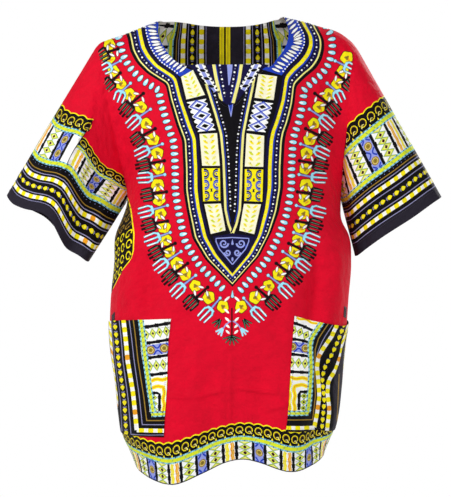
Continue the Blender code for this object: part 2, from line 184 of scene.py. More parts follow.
# %% Folds and creases
FOLD_COLUMNS = ("x0", "z0", "x1", "z1", "spread", "height")
FRONT_FOLDS = (
    (-0.085, -0.56, -0.088, -0.80, 0.042, 0.012),
    (0.018, -0.50, 0.020, -0.80, 0.040, -0.010),
    (0.095, -0.54, 0.092, -0.80, 0.036, 0.010),
    (0.138, -0.37, 0.130, -0.54, 0.020, -0.008),
    (0.172, -0.36, 0.160, -0.56, 0.020, 0.006),
    (-0.132, -0.38, -0.128, -0.53, 0.022, -0.006),
    (-0.158, -0.34, -0.165, -0.50, 0.020, 0.004),
    (0.186, -0.12, 0.176, -0.30, 0.014, -0.010),
    (-0.196, -0.16, -0.168, -0.29, 0.016, -0.008),
    (0.180, -0.52, 0.140, -0.61, 0.018, -0.009),
    (0.140, -0.61, 0.143, -0.74, 0.018, -0.008),
    (0.166, -0.57, 0.163, -0.72, 0.020, 0.006),
    (-0.150, -0.55, -0.142, -0.74, 0.026, 0.005),
    (0.070, -0.33, 0.050, -0.52, 0.040, 0.004),
    (-0.060, -0.33, -0.040, -0.50, 0.040, 0.003),
)
BACK_FOLDS = (
    (-0.105, -0.28, -0.090, -0.80, 0.034, 0.010),
    (-0.045, -0.36, -0.038, -0.80, 0.034, -0.009),
    (0.024, -0.44, 0.030, -0.80, 0.036, 0.009),
    (0.092, -0.30, 0.080, -0.80, 0.032, -0.010),
    (0.145, -0.34, 0.134, -0.74, 0.026, 0.008),
    (-0.152, -0.33, -0.146, -0.72, 0.024, -0.007),
    (-0.180, -0.10, -0.160, -0.29, 0.018, -0.008),
    (0.182, -0.11, 0.168, -0.29, 0.017, -0.008),
    (-0.100, -0.050, 0.090, -0.056, 0.022, 0.003),
)
FRONT_CREASES = (
    (-0.138, -0.415, -0.134, -0.530, 0.0090, -0.0042),
    (-0.168, -0.345, -0.150, -0.470, 0.0080, 0.0018),
    (-0.118, -0.350, -0.120, -0.480, 0.0085, 0.0015),
    (-0.185, -0.330, -0.120, -0.390, 0.0080, -0.0016),
    (0.138, -0.370, 0.134, -0.530, 0.0090, -0.0046),
    (0.176, -0.360, 0.176, -0.500, 0.0100, 0.0026),
    (0.118, -0.390, 0.121, -0.500, 0.0080, 0.0016),
    (0.188, -0.350, 0.130, -0.420, 0.0090, 0.0018),
    (0.172, -0.400, 0.120, -0.485, 0.0080, -0.0014),
    (0.001, -0.540, -0.001, -0.700, 0.0040, 0.0016),
    (-0.106, -0.626, -0.056, -0.630, 0.0036, 0.0032),
    (-0.062, -0.630, -0.008, -0.616, 0.0036, 0.0032),
    (0.000, -0.612, 0.092, -0.624, 0.0036, 0.0032),
    (0.060, -0.650, 0.096, -0.638, 0.0032, 0.0018),
    (-0.046, -0.570, -0.026, -0.730, 0.0150, -0.0042),
    (-0.014, -0.580, -0.012, -0.720, 0.0110, 0.0026),
    (0.052, -0.560, 0.050, -0.700, 0.0150, -0.0036),
    (0.030, -0.600, 0.028, -0.720, 0.0110, 0.0022),
    (-0.080, -0.470, -0.070, -0.590, 0.0130, -0.0022),
    (0.078, -0.440, 0.076, -0.560, 0.0130, -0.0022),
    (0.000, -0.480, -0.004, -0.560, 0.0120, 0.0022),
    (0.172, -0.060, 0.162, -0.150, 0.0090, -0.0022),
    (0.150, -0.035, 0.140, -0.110, 0.0100, 0.0014),
    (-0.176, -0.070, -0.166, -0.170, 0.0090, -0.0020),
    (-0.150, -0.060, -0.150, -0.140, 0.0110, 0.0012),
    (0.182, -0.220, 0.120, -0.280, 0.0100, -0.0018),
    (-0.176, -0.240, -0.110, -0.290, 0.0100, -0.0016),
)
BACK_CREASES = (
    (-0.170, -0.330, -0.120, -0.400, 0.0090, -0.0020),
    (0.172, -0.330, 0.110, -0.410, 0.0090, -0.0020),
    (-0.060, -0.470, -0.064, -0.600, 0.0080, 0.0016),
    (0.058, -0.500, 0.060, -0.640, 0.0080, -0.0018),
    (-0.016, -0.540, -0.010, -0.680, 0.0100, 0.0016),
    (-0.090, -0.100, 0.040, -0.118, 0.0090, 0.0012),
    (-0.020, -0.150, 0.100, -0.138, 0.0100, -0.0011),
    (0.130, -0.090, 0.165, -0.200, 0.0100, 0.0018),
    (-0.130, -0.090, -0.160, -0.210, 0.0100, 0.0016),
    (-0.110, -0.590, 0.020, -0.596, 0.0030, 0.0006),
    (0.030, -0.594, 0.120, -0.588, 0.0030, 0.0006),
    (0.110, -0.450, 0.100, -0.600, 0.0110, 0.0018),
    (-0.130, -0.480, -0.124, -0.640, 0.0120, -0.0018),
)

# %% [markdown]
# Two helpers come first: a smooth curve through a table's points, and a soft step. The body's
# surface then rounds over the shoulders, fills the sections and carries its folds. Round the
# edges that are sewn, the cloth dips a little, because the seam allowance pulls it in.

# %% The body's surface
SEAM_DIP = 0.0012
SEAM_REACH = 0.004
FOLD_FADE = 0.3
PAST_HEM = -0.80
BODY_RIPPLE, SLEEVE_RIPPLE = 0.0011, 0.0010


def column(table, columns, name):
    """One named column of a table, as an array."""
    return np.array([row[columns.index(name)] for row in table])


def smooth(xs, ys, x):
    """A smooth curve through the points (xs, ys), read at x."""
    order = np.argsort(xs)
    xs, ys = xs[order], ys[order]
    x = np.clip(x, xs[0], xs[-1])
    slopes = np.gradient(ys, xs)
    i = np.clip(np.searchsorted(xs, x) - 1, 0, len(xs) - 2)
    width = xs[i + 1] - xs[i]
    t = (x - xs[i]) / width
    start = (1 + 2 * t) * (1 - t) ** 2 * ys[i] + t * (1 - t) ** 2 * width * slopes[i]
    end = t**2 * (3 - 2 * t) * ys[i + 1] - t**2 * (1 - t) * width * slopes[i + 1]
    return start + end


def section(name, z):
    """A size of the body's section at height z."""
    heights = column(SECTIONS, SECTION_COLUMNS, "z")
    return smooth(heights, column(SECTIONS, SECTION_COLUMNS, name), z)


def step(t):
    """0 below 0, 1 above 1 and smooth between them."""
    t = np.clip(t, 0, 1)
    return t * t * (3 - 2 * t)


def shoulder_x(u):
    """Place across the body, on the shoulder line, of the panel's place u."""
    left, right = TIP[LEFT][0], TIP[RIGHT][0]
    return (left + right) / 2 + u * (right - left) / 2


def top_height(u, side):
    """Height at which the cloth would close over the body at u."""
    x = shoulder_x(u)
    places = column(SHOULDERS, SHOULDER_COLUMNS, "x")
    height = smooth(places, column(SHOULDERS, SHOULDER_COLUMNS, "z"), x)
    nape = np.clip(1 - ((x - NAPE_X) / NAPE_HALF) ** 2, 0, None) ** 2
    return height + (NAPE_RISE * nape if side == BACK else 0)


def across(u, z, side):
    """X and the depth, with no shoulder rounding, of the panel's place u at height z."""
    angle = u * math.pi / 2
    sine, cosine = np.sin(angle), np.maximum(np.cos(angle), 0)
    corner = (np.abs(sine) ** BOXINESS + cosine**BOXINESS) ** (1 / BOXINESS)
    depth = section("front" if side == FRONT else "back", z)
    low_x = section("middle", z) + section("half", z) * sine / corner
    low_depth = depth * cosine / corner
    heights = column(ARMHOLES, ARMHOLE_COLUMNS, "z")
    left = smooth(heights, column(ARMHOLES, ARMHOLE_COLUMNS, "left"), z)
    right = smooth(heights, column(ARMHOLES, ARMHOLE_COLUMNS, "right"), z)
    high_x = (left + right) / 2 + u * (right - left) / 2
    high_depth = depth * (1 - np.abs(u) ** ARMHOLE_SPREAD)
    high = step((z - ARMPIT_Z + 0.05) / 0.14)
    return low_x + (high_x - low_x) * high, low_depth + (high_depth - low_depth) * high


def edge_depth(fall, top):
    """How far a panel's outer edge stands off the middle: at the armhole, and at the vent."""
    share = np.clip(fall / (top - ARMPIT_Z), 0, 1)
    armhole_part = ARMHOLE_DEPTH * 2.6 * np.sqrt(share) * (1 - share)
    return armhole_part + VENT_SPREAD * np.maximum(VENT_TOP - (top - fall), 0)


def drop(v):
    """How far the cloth has come down, and how far it has turned forward, at length v."""
    turn = np.clip(v / SHOULDER_ROUND, 0, math.pi / 2)
    straight = np.maximum(v - SHOULDER_ROUND * math.pi / 2, 0)
    return SHOULDER_ROUND * (1 - np.cos(turn)) + straight, np.sin(turn)


def length_at(fall):
    """The length v at which the cloth has come down by fall."""
    fall = np.maximum(fall, 0)
    turn = np.arccos(np.clip(1 - fall / SHOULDER_ROUND, 0, 1))
    return SHOULDER_ROUND * turn + np.maximum(fall - SHOULDER_ROUND, 0)


def plain_body(u, v, side):
    """The body's surface without its folds, at u across the panel and v down it."""
    fall, turned = drop(v)
    top = top_height(u, side)
    x, depth = across(u, top - fall, side)
    depth = depth * turned + np.abs(u) ** (2 * ARMHOLE_SPREAD) * edge_depth(fall, top)
    return np.stack([x, side * depth, top - fall], -1)


def fold_height(x, z, table):
    """How far the folds of a table lift the cloth at (x, z) of the front view."""
    lift = np.zeros_like(x)
    for row in table:
        fold = dict(zip(FOLD_COLUMNS, row))
        start = np.array([fold["x0"], fold["z0"]])
        along = np.array([fold["x1"], fold["z1"]]) - start
        length = np.linalg.norm(along)
        along = along / length
        dx, dz = x - start[0], z - start[1]
        run = (dx * along[0] + dz * along[1]) / length
        away = -dx * along[1] + dz * along[0]
        ends = step(run / FOLD_FADE) * step((1 - run) / FOLD_FADE)
        if fold["z1"] <= PAST_HEM:
            ends = step(run / (2 * FOLD_FADE))
        lift += fold["height"] * ends * np.exp(-((away / fold["spread"]) ** 2))
    return lift


def normals_of(surface, u, v, du, dv):
    """Unit normals of a surface, from small steps to each side."""
    across_u = surface(u + du, v) - surface(u - du, v)
    down = surface(u, v + dv) - surface(u, v - dv)
    normal = np.cross(across_u, down)
    return normal / np.maximum(np.linalg.norm(normal, axis=-1, keepdims=True), 1e-12)


def ripple(a, b, seed, size):
    """Gentle unevenness between -1 and 1, from a few waves in seeded directions."""
    waves = np.random.default_rng(seed)
    total = np.zeros_like(a)
    for _ in range(9):
        angle, phase = waves.uniform(0, 2 * math.pi, 2)
        pitch = size * waves.uniform(0.6, 1.8)
        total += np.sin((a * math.cos(angle) + b * math.sin(angle)) * 2 * math.pi / pitch + phase)
    return total / 9


def body(u, v, side, out=0.0):
    """The body's surface with its folds, creases and seam dips, moved outwards by out."""

    def plain(a, b):
        return plain_body(np.clip(a, -1, 1), np.maximum(b, 0), side)

    point = plain(u, v)
    normal = normals_of(plain, u, v, 0.001 / FLAT_HALF, 0.001) * side
    x, z = point[..., 0], point[..., 2]
    folds, creases = (FRONT_FOLDS, FRONT_CREASES) if side == FRONT else (BACK_FOLDS, BACK_CREASES)
    calm = (1 - np.abs(u) ** 8) * step(v / 0.05)
    lift = fold_height(x, z, folds) * calm + fold_height(x, z, creases) * calm
    lift = lift + BODY_RIPPLE * ripple(u * FLAT_HALF, v * 0.5, 11 + side, 0.055) * calm
    from_edge = np.minimum((1 - np.abs(u)) * FLAT_HALF, v)
    lift = lift - SEAM_DIP * np.exp(-((from_edge / SEAM_REACH) ** 2))
    return point + normal * (lift + out)[..., None]


def place_of(x, z, side):
    """The panel's u and v at (x, z) of the front view, found by halving."""
    x, z = np.asarray(x, float), np.asarray(z, float)
    low, high = np.full(x.shape, -1.0), np.full(x.shape, 1.0)
    for _ in range(40):
        middle = (low + high) / 2
        below = across(middle, z, side)[0] < x
        low, high = np.where(below, middle, low), np.where(below, high, middle)
    u = (low + high) / 2
    return u, length_at(top_height(u, side) - z)


print("front at the middle of the chest", body(np.zeros(1), np.full(1, 0.25), FRONT).round(3))

# %% [markdown]
# A sleeve is one piece of cloth sewn into a tube, so its two numbers are the way round and
# the way down. It starts on the armhole and ends at the cuff, and its folds are rows too:
# the left one has the deep slanting fold that steps its stripes.

# %% The sleeves' surface
CUFF = {
    LEFT: {"outer": (-0.379, -0.2975), "inner": (-0.240, -0.4095)},
    RIGHT: {"outer": (0.3587, -0.3009), "inner": (0.2130, -0.4010)},
}
CUFF_DEPTH = 0.044
KNIFE_PLACE, KNIFE_RISE, KNIFE_EDGE = 0.228, 0.07, 0.006
KNIFE_HEIGHT = 0.0065
SLEEVE_FULLNESS = 0.012
SLEEVE_FOLD_COLUMNS = ("around", "begin", "spread", "out", "along")
SLEEVE_FOLDS = {
    LEFT: (
        (0.100, 0.10, 0.045, -0.003, 0.004),
        (0.235, 0.00, 0.055, 0.013, -0.018),
        (0.355, 0.05, 0.042, -0.013, 0.006),
        (0.440, 0.20, 0.035, 0.004, 0.002),
        (0.640, 0.10, 0.050, -0.007, -0.006),
        (0.780, 0.00, 0.055, 0.009, -0.008),
        (0.900, 0.15, 0.040, -0.004, -0.002),
        (0.060, 0.00, 0.016, 0.0015, 0.000),
        (0.165, 0.25, 0.018, -0.0020, 0.000),
        (0.840, 0.10, 0.018, 0.0020, 0.000),
        (0.705, 0.20, 0.018, -0.0020, 0.000),
    ),
    RIGHT: (
        (0.130, 0.05, 0.055, 0.003, -0.001),
        (0.310, 0.00, 0.085, -0.004, -0.002),
        (0.440, 0.10, 0.030, 0.003, 0.001),
        (0.620, 0.30, 0.050, 0.004, -0.006),
        (0.710, 0.00, 0.050, -0.007, -0.008),
        (0.830, 0.10, 0.050, 0.007, -0.005),
        (0.075, 0.00, 0.018, 0.0014, 0.000),
        (0.215, 0.10, 0.020, 0.0018, 0.000),
        (0.385, 0.30, 0.018, -0.0020, 0.000),
        (0.905, 0.20, 0.018, 0.0018, 0.000),
    ),
}


def armhole(around, side):
    """A point of the armhole's edge: 0 at the shoulder, 0.5 at the armpit, 1 at the shoulder."""
    share = 1 - np.abs(1 - 2 * around)
    u = np.full_like(around, side * 1.0)
    armpit = length_at(top_height(u, FRONT) - ARMPIT_Z)
    front = plain_body(u, share * armpit, FRONT)
    back = plain_body(u, share * armpit, BACK)
    return np.where((around <= 0.5)[..., None], front, back)


def knife_fold(around, along):
    """The left sleeve's sharp fold: a lip that lies over the cloth behind it."""
    before = np.clip((around - KNIFE_PLACE + KNIFE_RISE) / KNIFE_RISE, 0, 1)
    after = 1 - step((around - KNIFE_PLACE) / KNIFE_EDGE)
    window = step((along - 0.10) / 0.15) * step((0.86 - along) / 0.35)
    return KNIFE_HEIGHT * before**2 * after * window


def plain_sleeve(around, along, side):
    """The sleeve's surface with its folds: around it from its outer edge, and down it."""
    around = np.mod(around, 1.0)
    outer, inner = (np.array([CUFF[side][k][0], 0, CUFF[side][k][1]]) for k in ("outer", "inner"))
    turn = 2 * math.pi * around
    spread = (outer - inner) / 2
    facing_out = np.array([0, -1.0, 0])
    cuff = (outer + inner) / 2 + np.cos(turn)[..., None] * spread
    cuff = cuff + (np.sin(turn) * CUFF_DEPTH)[..., None] * facing_out
    start = armhole(around, side)
    down = np.cross(facing_out, spread / np.linalg.norm(spread)) * -side
    point = start + (cuff - start) * along[..., None]
    full = SLEEVE_FULLNESS * 4 * along * (1 - along)
    point[..., 1] -= full * np.sin(turn)
    radial = np.cos(turn)[..., None] * spread / np.linalg.norm(spread)
    radial = radial + np.sin(turn)[..., None] * facing_out * 2
    radial = radial / np.linalg.norm(radial, axis=-1, keepdims=True)
    for row in SLEEVE_FOLDS[side]:
        fold = dict(zip(SLEEVE_FOLD_COLUMNS, row))
        away = np.abs(around - fold["around"])
        bump = np.exp(-((away / fold["spread"]) ** 2)) * step((along - fold["begin"]) / 0.6)
        point = point + radial * (bump * fold["out"])[..., None]
        point = point + down * (bump * along * fold["along"])[..., None]
    if side == LEFT:
        point = point + radial * knife_fold(around, along)[..., None]
    dip = SEAM_DIP * np.exp(-((along * 0.25 / SEAM_REACH) ** 2))
    uneven = ripple(around * 2.0, along * 0.3, 31 + side, 0.33) * step(along / 0.2)
    return point + radial * (SLEEVE_RIPPLE * uneven - dip)[..., None]


SLEEVE_GRID = np.linspace(0, 1, 121)


def sleeve_lengths(side):
    """How long the sleeve is from armhole to cuff, at each place of SLEEVE_GRID round it."""
    along = np.linspace(0, 1, 25)
    a, b = np.meshgrid(SLEEVE_GRID, along)
    points = plain_sleeve(a, b, side)
    return np.linalg.norm(np.diff(points, axis=0), axis=-1).sum(0)


SLEEVE_LENGTHS = {side: sleeve_lengths(side) for side in (LEFT, RIGHT)}
print("sleeves", {s: SLEEVE_LENGTHS[s].round(3)[[0, 30, 60]] for s in SLEEVE_LENGTHS})

# %% [markdown]
# The print is dyed into flat cloth before anything is sewn, so it is drawn flat too. Each
# motif is an outline with an ink, later ones over earlier ones, as blocks are printed. The
# cloth is then divided into triangles along every outline, and each triangle takes the ink of
# the last shape it lies in. The edges stay as crisp as print, with no picture behind them.

# %% Inks
CLOTH = 0.0008


def ink(red, green, blue):
    """A dye, from the three numbers of its colour as it is seen, as linear light."""
    seen = np.array([red, green, blue]) / 255
    return tuple(np.where(seen <= 0.04045, seen / 12.92, ((seen + 0.055) / 1.055) ** 2.4)) + (1.0,)


INKS = {
    "red": ink(224, 0, 40),
    "white": ink(255, 255, 252),
    "cream": ink(255, 250, 216),
    "yellow": ink(255, 238, 16),
    "pale": ink(246, 238, 140),
    "lime": ink(222, 234, 44),
    "green": ink(96, 150, 120),
    "sky": ink(170, 234, 255),
    "teal": ink(120, 190, 214),
    "blue": ink(30, 64, 190),
    "navy": ink(16, 12, 60),
    "lilac": ink(150, 160, 228),
    "grey": ink(150, 148, 190),
    "charcoal": ink(40, 36, 48),
    "black": ink(8, 6, 12),
    "brown": ink(160, 126, 44),
    "orange": ink(246, 166, 30),
    "olive": ink(120, 118, 30),
    "maroon": ink(96, 6, 24),
}
print("inks", len(INKS))

# %% [markdown]
# These helpers divide the cloth. The outline is followed closely, a loose grid of points
# fills the inside so that the cloth can bend, and the print's outlines are edges which no
# triangle crosses.

# %% Dividing the flat cloth along its print


def spaced(points, gap, closed=True):
    """A line's points, with more put in so that none are further apart than gap."""
    points = np.asarray(points, float)
    following = np.roll(points, -1, axis=0) if closed else points[1:]
    out = []
    for a, b in zip(points, following):
        count = max(1, math.ceil(np.linalg.norm(b - a) / gap))
        out.extend(a + (b - a) * k / count for k in range(count))
    return np.array(out if closed else out + [points[-1]])


def inside(points, outline):
    """Which of the points lie inside a closed outline."""
    crossed = np.zeros(len(points), bool)
    for a, b in zip(outline, np.roll(outline, -1, axis=0)):
        spans = (a[1] > points[:, 1]) != (b[1] > points[:, 1])
        if spans.any():
            at_x = a[0] + (points[:, 1] - a[1]) * (b[0] - a[0]) / (b[1] - a[1])
            crossed ^= spans & (points[:, 0] < at_x)
    return crossed


def lay_out(outline, shapes, gap, extra=None):
    """Flat cloth cut to an outline: its points, its triangles and the ink of each triangle."""
    rings = [spaced(outline, gap)] + [shape for shape, _ in shapes]
    marked = np.concatenate(rings)
    edges, used = [], 0
    for ring in rings:
        edges.extend((used + k, used + (k + 1) % len(ring)) for k in range(len(ring)))
        used += len(ring)
    low, high = rings[0].min(0), rings[0].max(0)
    rows = []
    for j, y in enumerate(np.arange(low[1] + gap / 2, high[1], gap * 0.87)):
        xs = np.arange(low[0] + gap / 2 * (1 + j % 2), high[0], gap)
        rows.append(np.stack([xs, np.full_like(xs, y)], -1))
    filling = np.concatenate(rows if extra is None else rows + [extra])
    filling = filling[inside(filling, rings[0])]
    points = [Vector(p) for p in np.concatenate([marked, filling])]
    found = delaunay_2d_cdt(points, edges, [], 0, 1e-6)
    points = np.array([tuple(p) for p in found[0]])
    faces = np.array([tuple(face) for face in found[2]])
    middles = points[faces].mean(1)
    kept = inside(middles, rings[0])
    faces, middles = faces[kept], middles[kept]
    order = np.argsort(middles[:, 0])
    xs, owner = middles[order, 0], np.full(len(faces), -1)
    for k, (shape, _) in enumerate(shapes):
        (x0, y0), (x1, y1) = shape.min(0), shape.max(0)
        near = order[np.searchsorted(xs, x0) : np.searchsorted(xs, x1)]
        near = near[(middles[near, 1] > y0) & (middles[near, 1] < y1)]
        owner[near[inside(middles[near], shape)]] = k
    used, faces = np.unique(faces, return_inverse=True)
    return points[used], faces.reshape(-1, 3), owner


# %% [markdown]
# A piece of cloth has a printed face, an inner face and a rim between them. Shading normals
# come from the surface's own formula, so a crease that is finer than the triangles still
# catches the light. One map holds the flat cloth in metres, for the weave. A second one packs
# both faces side by side, so that each has its own room.

# %% Making a piece of cloth
CLOTH_GRID = 0.0075


def directions(surface, p, facing):
    """Unit normals, pointing out, of a surface at flat places p."""
    near = 0.0008
    right, down = np.array([near, 0.0]), np.array([0.0, near])
    across_it = surface(p + right, 0.0) - surface(p - right, 0.0)
    down_it = surface(p + down, 0.0) - surface(p - down, 0.0)
    normal = np.cross(across_it, down_it) * facing
    return normal / np.maximum(np.linalg.norm(normal, axis=-1, keepdims=True), 1e-12)


def cloth_piece(name, outline, ground, shapes, surface, facing, finish, extra=None):
    """A printed piece of cloth. facing is 1 where the flat cloth's upper face points out."""
    p, faces, owner = lay_out(outline, shapes, CLOTH_GRID, extra)
    count = len(p)
    outer, inner = surface(p, CLOTH / 2), surface(p, -CLOTH / 2)
    normal = directions(surface, p, facing)
    if facing < 0:
        faces = faces[:, ::-1]
    sides = np.concatenate([faces[:, [0, 1]], faces[:, [1, 2]], faces[:, [2, 0]]])
    owners = np.tile(owner, 3)
    known = set(map(tuple, sides.tolist()))
    rim = [k for k, (a, b) in enumerate(sides.tolist()) if (b, a) not in known]
    a, b = sides[rim, 0], sides[rim, 1]
    quads = np.stack([b, a, a + count, b + count], -1)
    every = faces.tolist() + (faces[:, ::-1] + count).tolist() + quads.tolist()
    mesh = bpy.data.meshes.new(name)
    mesh.from_pydata(np.concatenate([outer, inner]).tolist(), [], every)
    mesh.shade_smooth()
    mesh.normals_split_custom_set_from_vertices(np.concatenate([normal, -normal]).tolist())
    loops = np.concatenate([faces.ravel(), (faces[:, ::-1] + count).ravel(), quads.ravel()])
    dyes = np.array([INKS[ground]] + [INKS[dye] for _, dye in shapes])
    layer_owner = np.repeat(owner, 3)
    loop_owner = np.concatenate([layer_owner, layer_owner, np.repeat(owners[rim], 4)])
    colour = mesh.color_attributes.new("ink", "FLOAT_COLOR", "CORNER")
    colour.data.foreach_set("color", dyes[loop_owner + 1].astype(np.float32).ravel())
    place = p[loops % count]
    mesh.uv_layers.new(name="cloth").data.foreach_set("uv", place.astype(np.float32).ravel())
    low, high = p.min(0), p.max(0)
    share = (place - low) / (high - low)
    back_face = np.zeros(len(loops))
    back_face[3 * len(faces) : 6 * len(faces)] = 1
    half_wide = 0.004 + 0.490 * share[:, 0] + 0.5 * back_face
    packed = np.stack([half_wide, 0.004 + 0.992 * share[:, 1]], -1)
    mesh.uv_layers.new(name="OFBake").data.foreach_set("uv", packed.astype(np.float32).ravel())
    mesh.uv_layers.active_index = 0
    mesh.materials.append(finish)
    piece = bpy.data.objects.new(name, mesh)
    bpy.context.scene.collection.objects.link(piece)
    print(name, len(shapes), "shapes", 2 * len(faces) + 2 * len(rim), "triangles")
    return piece


# %% [markdown]
# Cotton that is printed with wax has a plain weave, a soft gloss from its starch and dye that
# lies a little unevenly. The weave is two sets of fine waves, one for each thread direction,
# on the flat cloth's own map, so that it turns with every fold. The small crumples of
# packing are two noises in the bump.

# %% The cotton's finish


def node(tree, kind, **values):
    """A new node with its settings and the values of its named inputs."""
    made = tree.nodes.new(kind)
    for name, value in values.items():
        if hasattr(made, name):
            setattr(made, name, value)
        else:
            made.inputs[name.replace("_", " ")].default_value = value
    return made


def between_values(tree, low, high, from_low=0.0, from_high=1.0):
    """A node that maps a value from one range to another."""
    return node(
        tree, "ShaderNodeMapRange", From_Min=from_low, From_Max=from_high, To_Min=low, To_Max=high
    )


THREADS = 420.0


def cotton(name, gloss):
    """Printed cotton: its ink, its weave, uneven dye and fine crumples."""
    finish = bpy.data.materials.new(name)
    finish.use_nodes = True
    tree = finish.node_tree
    link = tree.links.new
    shader = tree.nodes["Principled BSDF"]
    printed = node(tree, "ShaderNodeAttribute", attribute_name="ink")
    place = node(tree, "ShaderNodeUVMap", uv_map="cloth")
    threads = []
    for direction in ("X", "Y"):
        sizes = {"Scale": THREADS, "Distortion": 0.6, "Detail": 1.0, "Detail_Scale": 0.3}
        threads.append(node(tree, "ShaderNodeTexWave", bands_direction=direction, **sizes))
        link(place.outputs["UV"], threads[-1].inputs["Vector"])
    weave = node(tree, "ShaderNodeMath", operation="MULTIPLY")
    link(threads[0].outputs["Fac"], weave.inputs[0])
    link(threads[1].outputs["Fac"], weave.inputs[1])
    dye = node(tree, "ShaderNodeTexNoise", Scale=46.0, Detail=4.0, Roughness=0.6)
    link(place.outputs["UV"], dye.inputs["Vector"])
    shade = between_values(tree, 0.90, 1.06, 0.25, 0.75)
    link(dye.outputs["Fac"], shade.inputs["Value"])
    # The weave also sets the colour, a little darker in its hollows and lighter on its crossings:
    # painted shade and highlight of the threads.
    weave_shade = between_values(tree, 0.93, 1.05)
    link(weave.outputs["Value"], weave_shade.inputs["Value"])
    level = node(tree, "ShaderNodeMath", operation="MULTIPLY")
    link(shade.outputs["Result"], level.inputs[0])
    link(weave_shade.outputs["Result"], level.inputs[1])
    dyed = node(tree, "ShaderNodeVectorMath", operation="SCALE")
    link(printed.outputs["Color"], dyed.inputs[0])
    link(level.outputs["Value"], dyed.inputs["Scale"])
    link(dyed.outputs["Vector"], shader.inputs["Base Color"])
    crumple = node(tree, "ShaderNodeTexNoise", Scale=58.0, Detail=3.0, Roughness=0.45)
    link(place.outputs["UV"], crumple.inputs["Vector"])
    soft = node(tree, "ShaderNodeBump", Strength=0.7, Distance=0.006)
    link(crumple.outputs["Fac"], soft.inputs["Height"])
    fine = node(tree, "ShaderNodeBump", Strength=0.35, Distance=0.0002)
    link(weave.outputs["Value"], fine.inputs["Height"])
    link(soft.outputs["Normal"], fine.inputs["Normal"])
    link(fine.outputs["Normal"], shader.inputs["Normal"])
    rough = between_values(tree, gloss, gloss + 0.12)
    link(dye.outputs["Fac"], rough.inputs["Value"])
    link(rough.outputs["Result"], shader.inputs["Roughness"])
    shader.inputs["Specular IOR Level"].default_value = 0.10
    shader.inputs["Sheen Weight"].default_value = 0.02
    shader.inputs["Sheen Roughness"].default_value = 0.5
    return finish


wax_print = cotton("wax_print_cotton", 0.62)
pocket_cotton = cotton("pocket_cotton", 0.60)
print("finishes", wax_print.name, pocket_cotton.name)

# %% [markdown]
# The front and the back are cut from the flat cloth with four kinds of edge: shoulders, neck,
# sides with their armholes, and a hem that runs lower in its lobes. The pockets and the
# inset are cut on the front's own cloth, because they lie on it.

# %% Outlines of the pieces
NECK_STEP = 0.006
POCKETS = {
    LEFT: {"top": (-0.0960, -0.5026), "bottom": (-0.1030, -0.6920), "side": (-0.512, -0.698)},
    RIGHT: {"top": (0.1040, -0.4980), "bottom": (0.0865, -0.6830), "side": (-0.510, -0.694)},
}
MOUTH_SAG = {LEFT: 0.000, RIGHT: 0.012}
MOUTH_STAND = {LEFT: 0.002, RIGHT: 0.004}
SIDE_ALLOWANCE = 0.004


def flat(u, v):
    """The point of the flat cloth, in metres, at u and v of a body panel."""
    return np.stack([np.asarray(u) * FLAT_HALF, np.asarray(v)], -1)


def neck_curve(table):
    """A smooth curve through a neck table's points, as x and z of the front view."""
    x, z = column(table, NECK_COLUMNS, "x"), column(table, NECK_COLUMNS, "z")
    run = np.concatenate([[0], np.cumsum(np.hypot(np.diff(x), np.diff(z)))])
    fine = np.linspace(0, run[-1], round(run[-1] / NECK_STEP) + 1)
    return smooth(run, x, fine), smooth(run, z, fine)


def hem_length(u, side):
    """How far down the flat cloth the hem is at u."""
    name = "front" if side == FRONT else "back"
    z = smooth(column(HEMS, HEM_COLUMNS, "across"), column(HEMS, HEM_COLUMNS, name), u)
    return length_at(top_height(u, side) - z)


def outline_of_body(neck, side):
    """A body panel's flat outline: shoulders, neck, side seams, armholes and hem."""
    hem_u = np.linspace(-1, 1, 61)
    hem = flat(hem_u, hem_length(hem_u, side))
    u, v = place_of(*neck_curve(neck), side)
    v[0] = v[-1] = 0
    return np.concatenate([flat([-1.0], [0.0]), flat(u, v), flat([1.0], [0.0]), hem[::-1]])


def outline_of_inset():
    """The neck inset's flat outline, on the front's cloth."""
    x, z = column(INSET_OUTLINE, NECK_COLUMNS, "x"), column(INSET_OUTLINE, NECK_COLUMNS, "z")
    return flat(*place_of(x, z, FRONT))


def outline_of_pocket(side):
    """A pocket's flat outline, on the front's cloth."""
    sizes = POCKETS[side]
    last = side * (1 - SIDE_ALLOWANCE / FLAT_HALF)
    inner_top = place_of(*sizes["top"], FRONT)[0]
    inner_base = place_of(*sizes["bottom"], FRONT)[0]
    share = np.linspace(0, 1, 12)
    mouth_u = inner_top + (last - inner_top) * share
    base_u = inner_base + (last - inner_base) * share
    sag = MOUTH_SAG[side] * np.sin(math.pi * share)
    mouth = sizes["top"][1] + share * (sizes["side"][0] - sizes["top"][1]) - sag
    base = sizes["bottom"][1] + share * (sizes["side"][1] - sizes["bottom"][1])
    mouth_v = length_at(top_height(mouth_u, FRONT) - mouth)
    base_v = length_at(top_height(base_u, FRONT) - base)
    return np.concatenate([flat(mouth_u, mouth_v), flat(base_u, base_v)[::-1]])


SLEEVE_WIDTH = {LEFT: 0.47, RIGHT: 0.48}
SEAM_TUCK = 0.004


def sleeve_length(around, side):
    """The sleeve's length from armhole to cuff at a place round it."""
    return np.interp(np.mod(around, 1.0), SLEEVE_GRID, SLEEVE_LENGTHS[side])


def outline_of_sleeve(side):
    """A sleeve's flat outline: its cuff is the straight edge, and its head follows the armhole."""
    around = np.linspace(-0.5, 0.5, 81)
    tuck = SEAM_TUCK * step(np.abs(around) * 8 - 0.6)
    head = np.stack([around * SLEEVE_WIDTH[side], sleeve_length(around, side) + tuck], -1)
    cuff = np.stack([around[::-1] * SLEEVE_WIDTH[side], np.zeros(81)], -1)
    return np.concatenate([head, cuff])


